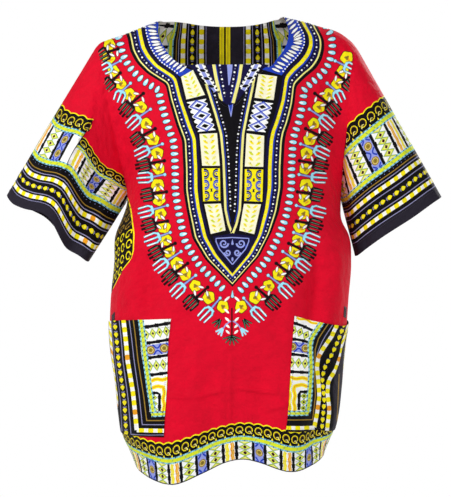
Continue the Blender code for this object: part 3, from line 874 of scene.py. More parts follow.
OUTLINES = {
    "front": outline_of_body(FRONT_NECK, FRONT),
    "back": outline_of_body(BACK_NECK, BACK),
    "neck_inset": outline_of_inset(),
    "pocket_left": outline_of_pocket(LEFT),
    "pocket_right": outline_of_pocket(RIGHT),
    "sleeve_left": outline_of_sleeve(LEFT),
    "sleeve_right": outline_of_sleeve(RIGHT),
}
for cut_name, cut_line in OUTLINES.items():
    print(cut_name, "is cut", (cut_line.max(0) - cut_line.min(0)).round(3))

# %% [markdown]
# Each outline needs the surface that its flat points land on. The pockets lie on the front
# and stand off a little at the mouth, where hands go in. The inset lies behind the front.

# %% Surfaces of the pieces
POCKET_GAP, INSET_GAP = 0.0002, 0.0004
POCKET_PUFF, PUFF_REACH = 0.0006, 0.006
MOUTH_REACH = 0.07


def body_cloth(side):
    """The surface of a body panel, from places of its flat cloth."""

    def surface(p, out):
        return body(np.clip(p[:, 0] / FLAT_HALF, -1, 1), np.maximum(p[:, 1], 0), side, out)

    return surface


def pocket_cloth(side, outline):
    """The surface of a pocket: on the front, and off it at the mouth."""
    inner, outer = np.abs(outline[:, 0]).min(), np.abs(outline[:, 0]).max()
    top, foot = outline[:, 1].min(), outline[:, 1].max()

    def surface(p, out):
        share = np.clip((np.abs(p[:, 0]) - inner) / (outer - inner), 0, 1)
        near_mouth = step(1 - (p[:, 1] - top) / MOUTH_REACH)
        stand = MOUTH_STAND[side] * np.sin(math.pi * share) * near_mouth
        edge = np.minimum(np.abs(p[:, 0]) - inner, outer - np.abs(p[:, 0]))
        puff = POCKET_PUFF * step(np.minimum(edge, foot - p[:, 1]) / PUFF_REACH)
        u, v = np.clip(p[:, 0] / FLAT_HALF, -1, 1), np.maximum(p[:, 1], 0)
        return body(u, v, FRONT, CLOTH + POCKET_GAP + puff + stand + out)

    return surface


def inset_cloth():
    """The surface of the inset, behind the front."""

    def surface(p, out):
        u, v = np.clip(p[:, 0] / FLAT_HALF, -1, 1), np.maximum(p[:, 1], 0)
        return body(u, v, FRONT, out - CLOTH - INSET_GAP)

    return surface


def sleeve_cloth(side):
    """The surface of a sleeve, from places of its flat cloth."""

    def plain(p):
        around = p[:, 0] / SLEEVE_WIDTH[side]
        along = 1 - p[:, 1] / sleeve_length(around, side)
        return plain_sleeve(around, np.clip(along, -0.03, 1.02), side)

    def surface(p, out):
        point = plain(p)
        if out == 0.0:
            return point
        return point + directions(lambda q, _: plain(q), p, -side) * out

    return surface


SURFACES = {
    "front": (body_cloth(FRONT), -1),
    "back": (body_cloth(BACK), 1),
    "neck_inset": (inset_cloth(), -1),
    "pocket_left": (pocket_cloth(LEFT, OUTLINES["pocket_left"]), -1),
    "pocket_right": (pocket_cloth(RIGHT, OUTLINES["pocket_right"]), -1),
    "sleeve_left": (sleeve_cloth(LEFT), 1),
    "sleeve_right": (sleeve_cloth(RIGHT), -1),
}
GROUNDS = {name: "red" for name in SURFACES}
GROUNDS.update(pocket_left="black", pocket_right="black", neck_inset="navy")
PRINTS = {name: [] for name in SURFACES}
print("surfaces", sorted(SURFACES))


# %% [markdown]
# A drawing plane stands where the shoulder seams meet, seen straight from the front, ruled in
# squares of 1.7 mm. What is drawn there lands on the cloth behind it, folds and all, in the
# way a slide lands on a curtain. It is used for the yoke, the ring of flowers and the pockets.

# %% From the drawing plane to the front's flat cloth
SQUARE = 0.0017
PLANE_X, PLANE_Z = 230.0, 20.0
EYE = (-0.0077, -2.6, -0.3885)


def seen(points):
    """Flat places of the front seen at points of the drawing plane: across and down."""
    points = np.asarray(points, float)
    plane_x, plane_z = (points[:, 0] - PLANE_X) * SQUARE, (PLANE_Z - points[:, 1]) * SQUARE
    depth = np.full(len(points), -0.1)
    shift_x, shift_z = np.zeros(len(points)), np.zeros(len(points))
    for _ in range(5):
        near = (depth - EYE[1]) / -EYE[1]
        x = EYE[0] + (plane_x - EYE[0]) * near
        z = EYE[2] + (plane_z - EYE[2]) * near
        u, v = place_of(x + shift_x, z + shift_z, FRONT)
        point = body(u, v, FRONT)
        depth = point[:, 1]
        shift_x = np.clip(shift_x + x - point[:, 0], -0.02, 0.02)
        shift_z = np.clip(shift_z + z - point[:, 2], -0.02, 0.02)
    return flat(u, v)


def laid(drawn, place):
    """Shapes from a drawing plane, put on flat cloth by the function place."""
    ends = np.cumsum([len(shape) for shape, _ in drawn])
    points = place(np.concatenate([shape for shape, _ in drawn]))
    return [(part, dye) for part, (_, dye) in zip(np.split(points, ends[:-1]), drawn)]


# %% [markdown]
# A few pens draw everything in the print: a dot, a band of a given width along a line, a
# teardrop, an egg, a leaf and a lobed flower. Each returns the outline it draws, so a motif
# is a short list of outlines with their inks.

# %% Pens


def turned(points, x, y, angle):
    """Points turned by an angle and moved to (x, y)."""
    points = np.asarray(points, float)
    c, s = math.cos(angle), math.sin(angle)
    right, down = points[:, 0], points[:, 1]
    return np.stack([x + right * c - down * s, y + right * s + down * c], -1)


def dot(x, y, radius, sides=7):
    """A small round dot."""
    t = np.linspace(0, 2 * math.pi, sides + 1)[:-1]
    return np.stack([x + radius * np.cos(t), y + radius * np.sin(t)], -1)


def normals_along(points):
    """Unit vectors to one side of a line, at each of its points."""
    way = np.gradient(points, axis=0)
    way = way / np.maximum(np.linalg.norm(way, axis=-1, keepdims=True), 1e-9)
    return np.stack([-way[:, 1], way[:, 0]], -1)


def stroke(points, width, end_width=None):
    """A band along a line, which may taper to another width."""
    points = np.asarray(points, float)
    widths = np.linspace(width, width if end_width is None else end_width, len(points))
    aside = normals_along(points) * widths[:, None] / 2
    return np.concatenate([points + aside, (points - aside)[::-1]])


def run_along(points):
    """The length of a line of points up to each of them."""
    return np.concatenate([[0], np.cumsum(np.linalg.norm(np.diff(points, axis=0), axis=1))])


def fine_line(points, gap):
    """An open line with a point at every gap of its length."""
    points = np.asarray(points, float)
    run = run_along(points)
    at_run = np.linspace(0, run[-1], max(2, round(run[-1] / gap) + 1))
    return np.stack([np.interp(at_run, run, points[:, k]) for k in (0, 1)], -1)


def tear(x, y, angle, length, width):
    """A teardrop whose point looks along the angle."""
    t = np.linspace(0.9, 2 * math.pi - 0.9, 7)
    bulb = np.stack([-length / 2 + width / 2 + width / 2 * np.cos(t), width / 2 * np.sin(t)], -1)
    return turned(np.concatenate([[[length / 2, 0]], bulb]), x, y, angle)


def egg(x, y, angle, length, width):
    """A rounded drop, narrower towards the angle."""
    t = np.linspace(0, 2 * math.pi, 11)[:-1]
    oval = np.stack([length / 2 * np.cos(t), width / 2 * np.sin(t) * (1 - 0.22 * np.cos(t))], -1)
    return turned(oval, x, y, angle)


def leaf(x, y, angle, length, width):
    """A leaf: pointed at both ends."""
    half = np.array([[-0.5, 0], [-0.25, 0.42], [0.1, 0.5], [0.36, 0.3]])
    other = np.array([[0.5, 0], [0.36, -0.3], [0.1, -0.5], [-0.25, -0.42]])
    return turned(np.concatenate([half, other]) * (length, width), x, y, angle)


def bloom(x, y, radius, lobes, angle=0.0, depth=0.14, squash=1.0):
    """A rounded flower with soft lobes."""
    t = np.linspace(0, 2 * math.pi, 4 * lobes + 1)[:-1]
    r = radius * (1 + depth * np.cos(lobes * t))
    return turned(np.stack([r * np.cos(t), squash * r * np.sin(t)], -1), x, y, angle)


def between(one, other, low, high):
    """The band between two matched lines, from a low to a high share of the way over."""
    first = one + (other - one) * low
    second = one + (other - one) * high
    return np.concatenate([first, second[::-1]])


def along(points, pitch, start=0.5):
    """Places and directions at every pitch along a line."""
    points = np.asarray(points, float)
    run = run_along(points)
    at_run = np.arange(start * pitch, run[-1], pitch)
    places = np.stack([np.interp(at_run, run, points[:, k]) for k in (0, 1)], -1)
    ahead = np.stack([np.interp(at_run + 0.5, run, points[:, k]) for k in (0, 1)], -1)
    behind = np.stack([np.interp(at_run - 0.5, run, points[:, k]) for k in (0, 1)], -1)
    way = ahead - behind
    return places, np.arctan2(way[:, 1], way[:, 0])


print("a dot has", len(dot(0, 0, 1)), "corners")

# %% [markdown]
# The yoke is the dress print's best known part: a shield of bands that runs round the neck
# and down the chest, as if it were embroidered. Each side is two matched lines, the shield's
# outer edge and the inner edge of its bands, and every band is a share of the way between
# them. The two sides are drawn apart, because the shirt hangs a little askew.

# %% The shield's bands
SHIELD = {
    LEFT: (
        ((124.0, 29.0), (144.0, 22.0)),
        ((127.6, 38.0), (145.0, 35.0)),
        ((130.0, 51.0), (148.0, 46.5)),
        ((136.4, 63.0), (152.5, 54.5)),
        ((146.7, 73.3), (160.0, 63.5)),
        ((158.4, 80.7), (169.0, 69.5)),
        ((165.8, 85.0), (178.0, 75.5)),
        ((168.7, 99.7), (183.5, 97.0)),
        ((176.0, 124.7), (193.0, 124.0)),
        ((182.0, 140.8), (198.5, 138.0)),
        ((183.4, 168.7), (200.0, 168.0)),
        ((183.4, 190.0), (200.3, 190.0)),
        ((186.3, 208.7), (202.5, 208.0)),
        ((192.2, 238.0), (209.5, 237.0)),
        ((205.4, 260.0), (219.0, 254.0)),
        ((232.4, 287.0), (232.3, 271.0)),
    ),
    RIGHT: (
        ((314.0, 18.0), (295.0, 14.0)),
        ((317.8, 27.7), (299.0, 23.5)),
        ((323.9, 39.4), (305.5, 34.5)),
        ((324.4, 48.6), (306.3, 44.0)),
        ((321.8, 59.8), (302.5, 52.5)),
        ((315.7, 69.0), (296.5, 60.0)),
        ((305.5, 77.1), (289.5, 66.5)),
        ((296.3, 86.3), (283.0, 74.5)),
        ((294.3, 104.7), (279.0, 100.0)),
        ((290.2, 122.0), (272.3, 121.5)),
        ((286.1, 133.3), (268.6, 131.0)),
        ((284.6, 142.4), (266.6, 140.0)),
        ((283.3, 168.0), (264.8, 168.0)),
        ((283.3, 187.0), (264.6, 188.0)),
        ((279.0, 211.9), (262.3, 208.0)),
        ((271.6, 232.5), (255.6, 236.5)),
        ((259.8, 256.0), (246.0, 254.0)),
        ((232.4, 287.0), (232.3, 271.0)),
    ),
}
SHIELD_GAP = 3.0


def shield_lines(side):
    """The shield's outer edge and its bands' inner edge, as matched lines."""
    pairs = np.array(SHIELD[side])
    run = run_along(pairs[:, 0])
    fine = np.linspace(0, run[-1], round(run[-1] / SHIELD_GAP) + 1)
    lines = [np.stack([np.interp(fine, run, pairs[:, e, k]) for k in (0, 1)], -1) for e in (0, 1)]
    smoothed = []
    for row in lines:
        soft = row.copy()
        soft[1:-1] = (row[:-2] + 2 * row[1:-1] + row[2:]) / 4
        smoothed.append(soft)
    return smoothed


OUTER, INNER = {}, {}
for half in (LEFT, RIGHT):
    OUTER[half], INNER[half] = shield_lines(half)
yoke = [(np.concatenate([OUTER[LEFT], OUTER[RIGHT][::-1]]), "black")]
for half in (LEFT, RIGHT):
    one, other = OUTER[half], INNER[half]
    yoke.append((between(one, other, 0.17, 0.25), "pale"))
    yoke.append((between(one, other, 0.27, 0.55), "navy"))
    yoke.append((between(one, other, 0.56, 0.64), "blue"))
    yoke.append((between(one, other, 0.645, 0.83), "yellow"))
    yoke.append((between(one, other, 0.835, 1.0), "navy"))
    dots_line = one + (other - one) * 0.42
    for k, (x, y) in enumerate(along(dots_line, 3.5)[0]):
        yoke.append((dot(x, y, 0.95 if k % 2 else 0.6, 6), "white" if k % 2 else "grey"))
    grain_line = one + (other - one) * 0.735
    for k, ((x, y), way) in enumerate(zip(*along(grain_line, 5.0))):
        yoke.append((leaf(x, y, way + 0.9, 2.4, 0.8), "pale"))
print("yoke", len(yoke), "shapes")

# %% [markdown]
# Inside the bands lies a blue strip with rays round the neck, and below it two columns of
# blocks. Their patterns are plain geometry of this kind of print: paired leaf marks, stacked
# lozenges, and small stars with arcs. Each block is drawn in a unit square and stretched
# into its four corners.

# %% The blue strip round the neck and the columns of blocks
NECK_SEEN = {
    LEFT: (
        (157.0, 18.0), (159.5, 28.0), (165.5, 48.0), (175.0, 60.0), (183.0, 66.5), (193.0, 71.0),
    ),
    RIGHT: (
        (284.0, 14.0), (286.5, 26.0), (286.8, 38.0), (279.5, 50.5), (269.0, 65.5), (262.0, 69.5),
    ),
}
STRIP_SEEN = {
    LEFT: (
        (143.5, 22.0), (145.2, 34.0), (148.7, 46.5), (153.0, 54.5), (160.6, 63.5), (169.6, 69.5),
        (180.0, 76.5),
    ),
    RIGHT: (
        (295.5, 14.0), (299.5, 23.5), (305.3, 34.5), (305.8, 44.0), (302.0, 52.5), (296.0, 60.0),
        (289.0, 66.5), (281.5, 75.5),
    ),
}


def in_block(points, corners):
    """Points of a unit square stretched into four corners, first row on top."""
    points = np.asarray(points, float)
    a, b, c, d = (np.array(corner, float) for corner in corners)
    s, t = points[:, :1], points[:, 1:]
    return (a * (1 - s) + b * s) * (1 - t) + (d * (1 - s) + c * s) * t


def box_of(x0, y0, x1, y1):
    """A rectangle, with enough corners to follow the cloth."""
    return spaced([(x0, y0), (x1, y0), (x1, y1), (x0, y1)], 0.34)


def leaf_block(corners, rows=6):
    """A cream block with two columns of small leaf marks that lean to the middle."""
    shapes = [(in_block(box_of(0, 0, 1, 1), corners), "cream")]
    marks = ("lime", "yellow", "yellow", "lime", "yellow", "pale")
    for row in range(rows):
        y = (row + 0.55) / rows
        for s, lean in ((0.30, 0.35), (0.70, -0.35)):
            mark = leaf(s, y, lean, 0.30, 0.085)
            shapes.append((in_block(mark, corners), marks[(row + (s > 0.5)) % 6]))
            tip = leaf(s, y - 0.035, lean + math.pi / 2, 0.05, 0.03)
            shapes.append((in_block(tip, corners), "olive" if row % 2 else "lime"))
    return shapes


LOZENGES = ((0.48, 0.19, "blue"), (0.40, 0.155, "lilac"), (0.30, 0.115, "white"))


def lozenge_block(corners):
    """A block of three stacked lozenges with dark hearts, toothed down both sides."""
    shapes = [(in_block(box_of(0, 0, 1, 1), corners), "white")]
    for k in range(3):
        y = (k + 0.5) / 3
        for wide, tall, dye in LOZENGES:
            diamond = np.array([(-wide, 0.0), (0.0, -tall), (wide, 0.0), (0.0, tall)]) + (0.5, y)
            shapes.append((in_block(diamond, corners), dye))
        heart = np.array([(0.29, y), (0.5, y - 0.07), (0.71, y), (0.5, y + 0.07)])
        shapes.append((in_block(heart, corners), "black"))
    for k in range(6):
        y = (k + 0.5) / 6
        for edge, point in ((0.0, 0.15), (1.0, 0.85)):
            tooth = np.array([(edge, y - 0.06), (point, y), (edge, y + 0.06)])
            shapes.append((in_block(tooth, corners), "black"))
    return shapes


def star_block(corners):
    """A yellow block of small stars between dark blue arcs."""
    shapes = [(in_block(box_of(0, 0, 1, 1), corners), "yellow")]
    for k in range(3):
        y = (k + 0.5) / 3
        for s in (0.17, 0.83):
            t = np.linspace(-1.9, 1.9, 7) + (0 if s < 0.5 else math.pi)
            arc = np.stack([s + 0.19 * np.cos(t), y + 0.115 * np.sin(t)], -1)
            shapes.append((in_block(stroke(arc, 0.10), corners), "navy" if k != 1 else "blue"))
            shapes.append((in_block(stroke(arc * (1, 1) + (0, 0.012), 0.02), corners), "lilac"))
            shapes.append((in_block(dot(s * 0.9 + 0.05, y, 0.035), corners), "blue"))
        if k < 2:
            knot = bloom(0.5, y + 1 / 6, 0.06, 4, 0.78, 0.3)
            shapes.append((in_block(knot, corners), "navy"))
    return shapes


for half in (LEFT, RIGHT):
    neck_line, strip_line = fine_line(NECK_SEEN[half], 3.0), fine_line(STRIP_SEEN[half], 3.0)
    yoke.append((np.concatenate([strip_line, neck_line[::-1]]), "blue"))
    yoke.append((stroke(strip_line[:-2], 1.5), "black"))
    for x, y in along(strip_line[:-1], 3.2)[0]:
        aim = np.array([(183 if half == LEFT else 268) - x, 42.0 - y])
        aim = aim / np.linalg.norm(aim)
        yoke.append((dot(x + aim[0] * 1.5, y + aim[1] * 1.5, 0.85, 6), "white"))
    for (x, y), way in zip(*along(strip_line, 4.1)):
        inward = way - math.pi / 2 if half == LEFT else way + math.pi / 2
        lean = inward + (0.28 if half == LEFT else -0.28)
        centre = (x + 7.6 * math.cos(inward), y + 7.6 * math.sin(inward))
        yoke.append((leaf(*centre, lean, 10.4, 3.5), "navy"))
        yoke.append((leaf(*centre, lean, 9.6, 2.4), "white"))

MIDDLE = 232.5
COLUMN_LEFT = (
    (leaf_block, ((181.0, 77.0), (193.0, 70.0), (205.0, 95.0), (186.4, 99.6))),
    (lozenge_block, ((186.8, 102.4), (206.0, 98.8), (215.6, 130.0), (198.0, 132.0))),
    (leaf_block, ((199.5, 134.0), (217.0, 133.2), (219.8, 165.8), (202.2, 165.8))),
    (star_block, ((201.8, 168.4), (219.8, 168.4), (220.4, 200.8), (203.2, 201.4))),
    (leaf_block, ((204.2, 204.2), (220.8, 203.6), (225.6, 230.4), (210.8, 234.0))),
)
COLUMN_RIGHT = (
    (leaf_block, ((258.5, 74.0), (277.0, 76.5), (273.5, 100.2), (254.5, 97.8))),
    (lozenge_block, ((254.2, 101.0), (273.0, 103.4), (265.5, 132.4), (246.8, 130.4))),
    (leaf_block, ((246.6, 133.4), (264.2, 135.8), (263.2, 167.0), (244.8, 166.6))),
    (star_block, ((244.8, 169.2), (263.2, 169.6), (262.2, 201.8), (244.4, 201.0))),
    (leaf_block, ((243.9, 203.8), (260.9, 204.4), (254.2, 234.2), (239.3, 230.6))),
)
for pattern, corners in COLUMN_LEFT + COLUMN_RIGHT:
    yoke.extend(pattern(corners))
print("yoke with its blocks", len(yoke), "shapes")

# %% [markdown]
# Between the columns runs a dark middle with two lines of white dots, edged by a pale line
# that ends in a point. Below that point, plain scrolls fill the tip of the shield. The
# scrolls are this model's own drawing.

# %% The middle of the shield and its scrolls
TIP_X = 232.4
MIDDLE_EDGE = {
    LEFT: (
        (206.4, 84.0), (210.0, 95.0), (216.0, 114.0), (221.6, 134.0), (224.0, 160.0),
        (225.2, 190.0), (226.0, 210.0), (229.0, 224.0), (TIP_X, 233.0),
    ),
    RIGHT: (
        (254.4, 74.0), (251.5, 90.0), (246.6, 113.0), (242.6, 134.0), (241.0, 160.0),
        (240.2, 190.0), (239.2, 210.0), (236.0, 224.0), (TIP_X, 233.0),
    ),
}
for half in (LEFT, RIGHT):
    edge_line = fine_line(MIDDLE_EDGE[half], 3.0)
    yoke.append((stroke(edge_line, 4.4), "navy"))
    yoke.append((stroke(edge_line + (half * 0.5, 0), 2.3), "pale"))
    inner_line = edge_line[: -round(len(edge_line) * 0.12)] - (half * 4.6, 0)
    yoke.append((stroke(edge_line[:-4] - (half * 1.7, 0), 0.8), "blue"))
    for k, (x, y) in enumerate(along(inner_line, 3.5)[0]):
        if abs(x - MIDDLE) > 1.6:
            yoke.append((dot(x, y, 1.0 if k % 2 else 0.6, 6), "white" if k % 2 else "grey"))
wedge = ((227.2, 100.0), (230.6, 99.0), (233.8, 100.0), (231.4, 116.5), (230.6, 116.8))
yoke.append((np.array(wedge), "lilac"))
yoke.append((np.array(((228.4, 103.5), (232.6, 103.5), (230.9, 113.5))), "blue"))


def scroll(x, y, size, way, turns=1.35):
    """A spiral line, thick where it starts."""
    t = np.linspace(0, turns * 2 * math.pi, 17)
    r = size * (1 - 0.80 * t / t[-1])
    line = np.stack([x + way * r * np.cos(t), y + r * np.sin(t)], -1)
    return stroke(line, 1.9, 1.1)


tip_panel = (
    (TIP_X, 233.5), (254.4, 236.5), (248.5, 249.5), (TIP_X, 268.5), (216.5, 249.5), (213.0, 236.5),
)
yoke.append((spaced(tip_panel, 4.0), "navy"))
for half in (LEFT, RIGHT):
    away = [(0.0, 237.5), (17.5, 238.5), (13.5, 248.5), (0.0, 264.5)]
    border = fine_line([(TIP_X + half * out, y) for out, y in away], 4.0)
    yoke.append((stroke(border, 1.1), "lilac"))
    yoke.append((scroll(TIP_X + half * 8.6, 243.4, 4.6, -half), "lilac"))
    yoke.append((scroll(TIP_X + half * 4.9, 252.6, 3.5, half), "lilac"))
    yoke.append((tear(TIP_X + half * 13.2, 246.8, math.pi / 2 + half * 0.3, 4.4, 1.6), "blue"))
yoke.append((tear(TIP_X, 242.0, -math.pi / 2, 6.0, 2.6), "lilac"))
yoke.append((leaf(TIP_X, 259.2, math.pi / 2, 4.6, 2.2), "lilac"))
print("yoke with its middle", len(yoke), "shapes")

# %% [markdown]
# Round the shield runs a row of pale drops, and outside them a ring of garden motifs: yellow
# flowers, with a pronged sprig between each two, pale blue and black in turn. The sprigs are
# drawn from one stem, one palm and three or four prongs, so that no two are quite alike.

# %% The row of drops and the ring of flowers
ring_print = []
for half in (LEFT, RIGHT):
    away = normals_along(OUTER[half])
    away = away * (1 if half == LEFT else -1)
    row = OUTER[half] + away * 8.0
    row = row[(row[:, 1] > 12.0)]
    places, ways = along(row, 6.75, 0.9)
    for (x, y), way in zip(places, ways):
        if abs(x - TIP_X) < 3.5:
            continue
        inward = way - math.pi / 2 if half == LEFT else way + math.pi / 2
        ring_print.append((egg(x, y, inward, 9.4, 5.3), "maroon"))
        ring_print.append((egg(x, y, inward, 7.8, 3.8), "sky"))
        heart = (x + 1.2 * math.cos(inward), y + 1.2 * math.sin(inward))
        ring_print.append((leaf(*heart, inward, 4.4, 1.7), "white"))
ring_print.append((tear(TIP_X, 294.0, -math.pi / 2, 9.2, 4.4), "maroon"))
ring_print.append((tear(TIP_X, 294.0, -math.pi / 2, 7.8, 3.2), "sky"))

FLOWERS = (
    (346.5, 57.8), (342.8, 71.0), (337.1, 83.8), (328.5, 94.5), (318.8, 107.2), (313.7, 123.6),
    (309.6, 139.4), (306.5, 152.9), (305.0, 169.0), (306.0, 184.9), (304.6, 200.0), (303.3, 213.6),
    (299.5, 227.1), (298.2, 239.8), (294.1, 252.0), (287.0, 263.4), (278.4, 274.6), (268.6, 285.9),
    (255.1, 297.5), (241.0, 306.6),
)
PALE_SPRIGS = (
    ((326.9, 83.3), (336.2, 91.5), (341.2, 101.6)),
    ((309.1, 109.3), (320.8, 117.0), (332.1, 127.2)),
    ((300.4, 144.0), (314.7, 149.1), (328.0, 155.7)),
    ((298.9, 174.6), (311.6, 177.1), (325.9, 178.1)),
    ((296.2, 205.5), (311.0, 209.8), (324.8, 213.5)),
    ((293.5, 232.5), (304.3, 236.3), (318.5, 241.7)),
    ((282.7, 251.5), (297.0, 261.0), (308.6, 269.8)),
    ((268.1, 275.3), (280.5, 285.0), (291.3, 295.8)),
    ((243.7, 298.1), (252.8, 308.8), (263.3, 319.6)),
    ((335.0, 61.0), (345.0, 66.0), (353.0, 70.0)),
)
DARK_SPRIGS = (
    ((336.1, 73.0), (344.2, 80.2), (352.3, 87.4)),
    ((314.7, 93.5), (328.0, 103.7), (338.2, 115.0)),
    ((305.5, 128.7), (318.8, 135.3), (330.5, 143.5)),
    ((299.4, 160.8), (312.7, 163.2), (327.5, 166.9)),
    ((297.3, 191.9), (309.8, 193.5), (322.6, 196.3)),
    ((296.2, 221.2), (307.7, 223.2), (321.8, 227.7)),
    ((288.6, 243.4), (301.2, 249.3), (314.3, 256.7)),
    ((276.2, 263.4), (288.1, 272.0), (300.2, 282.8)),
    ((256.1, 287.3), (267.6, 297.5), (278.4, 307.7)),
)
LEFT_FLOWERS = [(109.5, 44.5)]
LEFT_SPRIGS = (((118.0, 49.0), (108.5, 52.0), (99.5, 57.5)),)
RING_MIDDLE = 231.9
FOOT_LEAVES = ((5.0, 299.0), (5.4, 311.0), (4.6, 319.5), (4.4, 326.0), (4.2, 332.0))
LEFT_SHIFT_Y = (45.0, 58.0, 71.0, 84.0, 95.0, 107.0, 124.0, 139.0, 153.0)
LEFT_SHIFT_X = (9.0, 8.5, 7.6, 6.2, 5.6, 4.2, 3.8, 1.3, 0.0)


def to_left(point):
    """A place of the right half of the ring, on the left half, which hangs wider on top."""
    x, y = point
    return 2 * RING_MIDDLE - x - np.interp(y, LEFT_SHIFT_Y, LEFT_SHIFT_X), y


def sprig(stem, fork, tip, dye, edge):
    """A stem that opens into a palm with prongs."""
    stem, fork, tip = (np.array(p, float) for p in (stem, fork, tip))
    reach = tip - fork
    length = np.linalg.norm(reach)
    way = math.atan2(reach[1], reach[0])
    ahead = reach / length
    aside = np.array([-ahead[1], ahead[0]])
    shapes = []
    if dye == "sky":
        prongs, thick, stalk = ((-5.0, 0.92), (0.0, 1.0), (5.0, 0.90)), 2.0, "lilac"
    else:
        prongs, thick, stalk = ((-6.0, 0.86), (-2.0, 1.0), (2.0, 0.98), (6.0, 0.84)), 2.2, dye
    for grow, ink_name in ((1.0, edge), (0.0, dye)):
        stem_ink = ink_name if grow else stalk
        shapes.append((stroke([stem, (stem + fork) / 2, fork], 1.4 + grow, 2.0 + grow), stem_ink))
        shapes.append((dot(*stem, 1.6 + grow / 2, 7), ink_name))
        for offset, reach_share in prongs:
            root = fork + aside * offset * 0.50 - ahead * 0.4
            bend = fork + ahead * length * 0.26 + aside * offset
            end = fork + ahead * length * 1.08 * reach_share + aside * offset * 0.90
            limb = [root, bend, (bend + end) / 2, end]
            shapes.append((stroke(limb, thick + grow, thick * 0.72 + grow), ink_name))
        palm = dot(0, 0, 1, 9) * (1.5 + grow / 2, 4.6 + grow / 2)
        shapes.append((turned(palm, *(fork + ahead * 0.3), way), ink_name))
    if dye == "sky":
        for offset in (-5.0, 0.0, 5.0):
            ends = [fork + ahead * length * share + aside * offset for share in (0.40, 0.90)]
            shapes.append((stroke(ends, 0.9), "white"))
    return shapes, way, stem, fork


for flip in (False, True):
    flowers = [to_left(place) for place in FLOWERS] if flip else list(FLOWERS)
    dark_sprigs, pale_sprigs = DARK_SPRIGS, PALE_SPRIGS
    if flip:
        dark_sprigs = [tuple(to_left(place) for place in row) for row in DARK_SPRIGS]
        pale_sprigs = [tuple(to_left(place) for place in row) for row in PALE_SPRIGS]
        flowers += LEFT_FLOWERS
        dark_sprigs += LEFT_SPRIGS
    for k, (x, y) in enumerate(flowers):
        lean = math.atan2(y - 165.0, x - RING_MIDDLE)
        size = 6.3 - 0.25 * (k % 3)
        ring_print.append((bloom(x, y, size + 0.8, 5, lean, 0.07, 0.94), "maroon"))
        ring_print.append((bloom(x, y, size, 5, lean, 0.08, 0.93), "yellow"))
        ring_print.append((leaf(x + 2.2, y + 2.4, lean + 2.2, 5.0, 1.6), "orange"))
        ring_print.append((bloom(x + 0.2, y + 0.1, 2.2, 3, lean + k, 0.3, 0.9), "brown"))
        ring_print.append((dot(x + 0.2, y, 0.8, 5), "olive"))
    for stem, fork, tip in dark_sprigs:
        shapes, way, stem_at, fork_at = sprig(stem, fork, tip, "black", "maroon")
        ring_print.extend(shapes)
        ahead = np.array([math.cos(way), math.sin(way)])
        aside = np.array([-ahead[1], ahead[0]])
        for offset in (-5.6, -2.0, 2.0, 5.6):
            vein = [
                fork_at + ahead * 2.4 + aside * offset * 0.9,
                fork_at + ahead * 11.4 + aside * offset * 0.95,
            ]
            ring_print.append((stroke(vein, 0.55), "green"))
        middle = stem_at + (fork_at - stem_at) * 0.30
        outer_middle = stem_at + (fork_at - stem_at) * 0.86
        for turn_way in (-1, 1):
            for place, step_out, tilt in ((middle, 4.4, 1.05), (outer_middle, 4.2, 2.15)):
                x, y = place + aside * turn_way * step_out
                ring_print.append((leaf(x, y, way + turn_way * tilt, 7.0, 3.3), "maroon"))
                ring_print.append((leaf(x, y, way + turn_way * tilt, 6.0, 2.2), "white"))
    for stem, fork, tip in pale_sprigs:
        ring_print.extend(sprig(stem, fork, tip, "sky", "navy")[0])
for side_way in (-1, 1):
    for k, (out, y) in enumerate(FOOT_LEAVES):
        tilt = 0.75 if k == 0 else -0.75
        blade = leaf(RING_MIDDLE + side_way * out, y, side_way * tilt, 7.6 - 0.5 * k, 2.4)
        ring_print.append((blade, "white"))
    for k in range(3):
        fan = -math.pi / 2 + side_way * (2.0 + 0.45 * k)
        start = np.array([RING_MIDDLE + side_way * 11.5, 319.5])
        end = start + 9.5 * np.array([math.cos(fan), math.sin(fan)])
        ring_print.append((stroke([start, (start + end) / 2, end], 3.0, 1.4), "black"))
        ring_print.append((stroke([start, end], 0.5), "green"))
        low = np.array([RING_MIDDLE, 336.0])
        end = low + 9.5 * np.array([side_way * math.sin(0.25 + 0.5 * k), math.cos(0.25 + 0.5 * k)])
        ring_print.append((stroke([low, (low + end) / 2, end], 2.8, 1.2), "black"))
        ring_print.append((stroke([low, end], 0.5), "green"))
        start = np.array([RING_MIDDLE + side_way * 9.0, 328.5])
        fan = math.pi / 2 - side_way * (0.25 + 0.45 * k)
        end = start + 8.0 * np.array([math.cos(fan), math.sin(fan)])
        ring_print.append((stroke([start, end], 2.4, 1.5), "sky"))
    crook = [(1.0, 321.0), (6.0, 324.5), (9.0, 329.0)]
    crook = [(RING_MIDDLE + side_way * out, y) for out, y in crook]
    ring_print.append((stroke(crook, 1.2), "lilac"))
middle_line = [(RING_MIDDLE, 308.0), (RING_MIDDLE, 322.0), (RING_MIDDLE, 337.0)]
ring_print.append((stroke(middle_line, 1.4), "black"))

# %% [markdown]
# Under the left arm the edge of the cloth shows: a black strip with open rings, which the
# side seam cuts into.

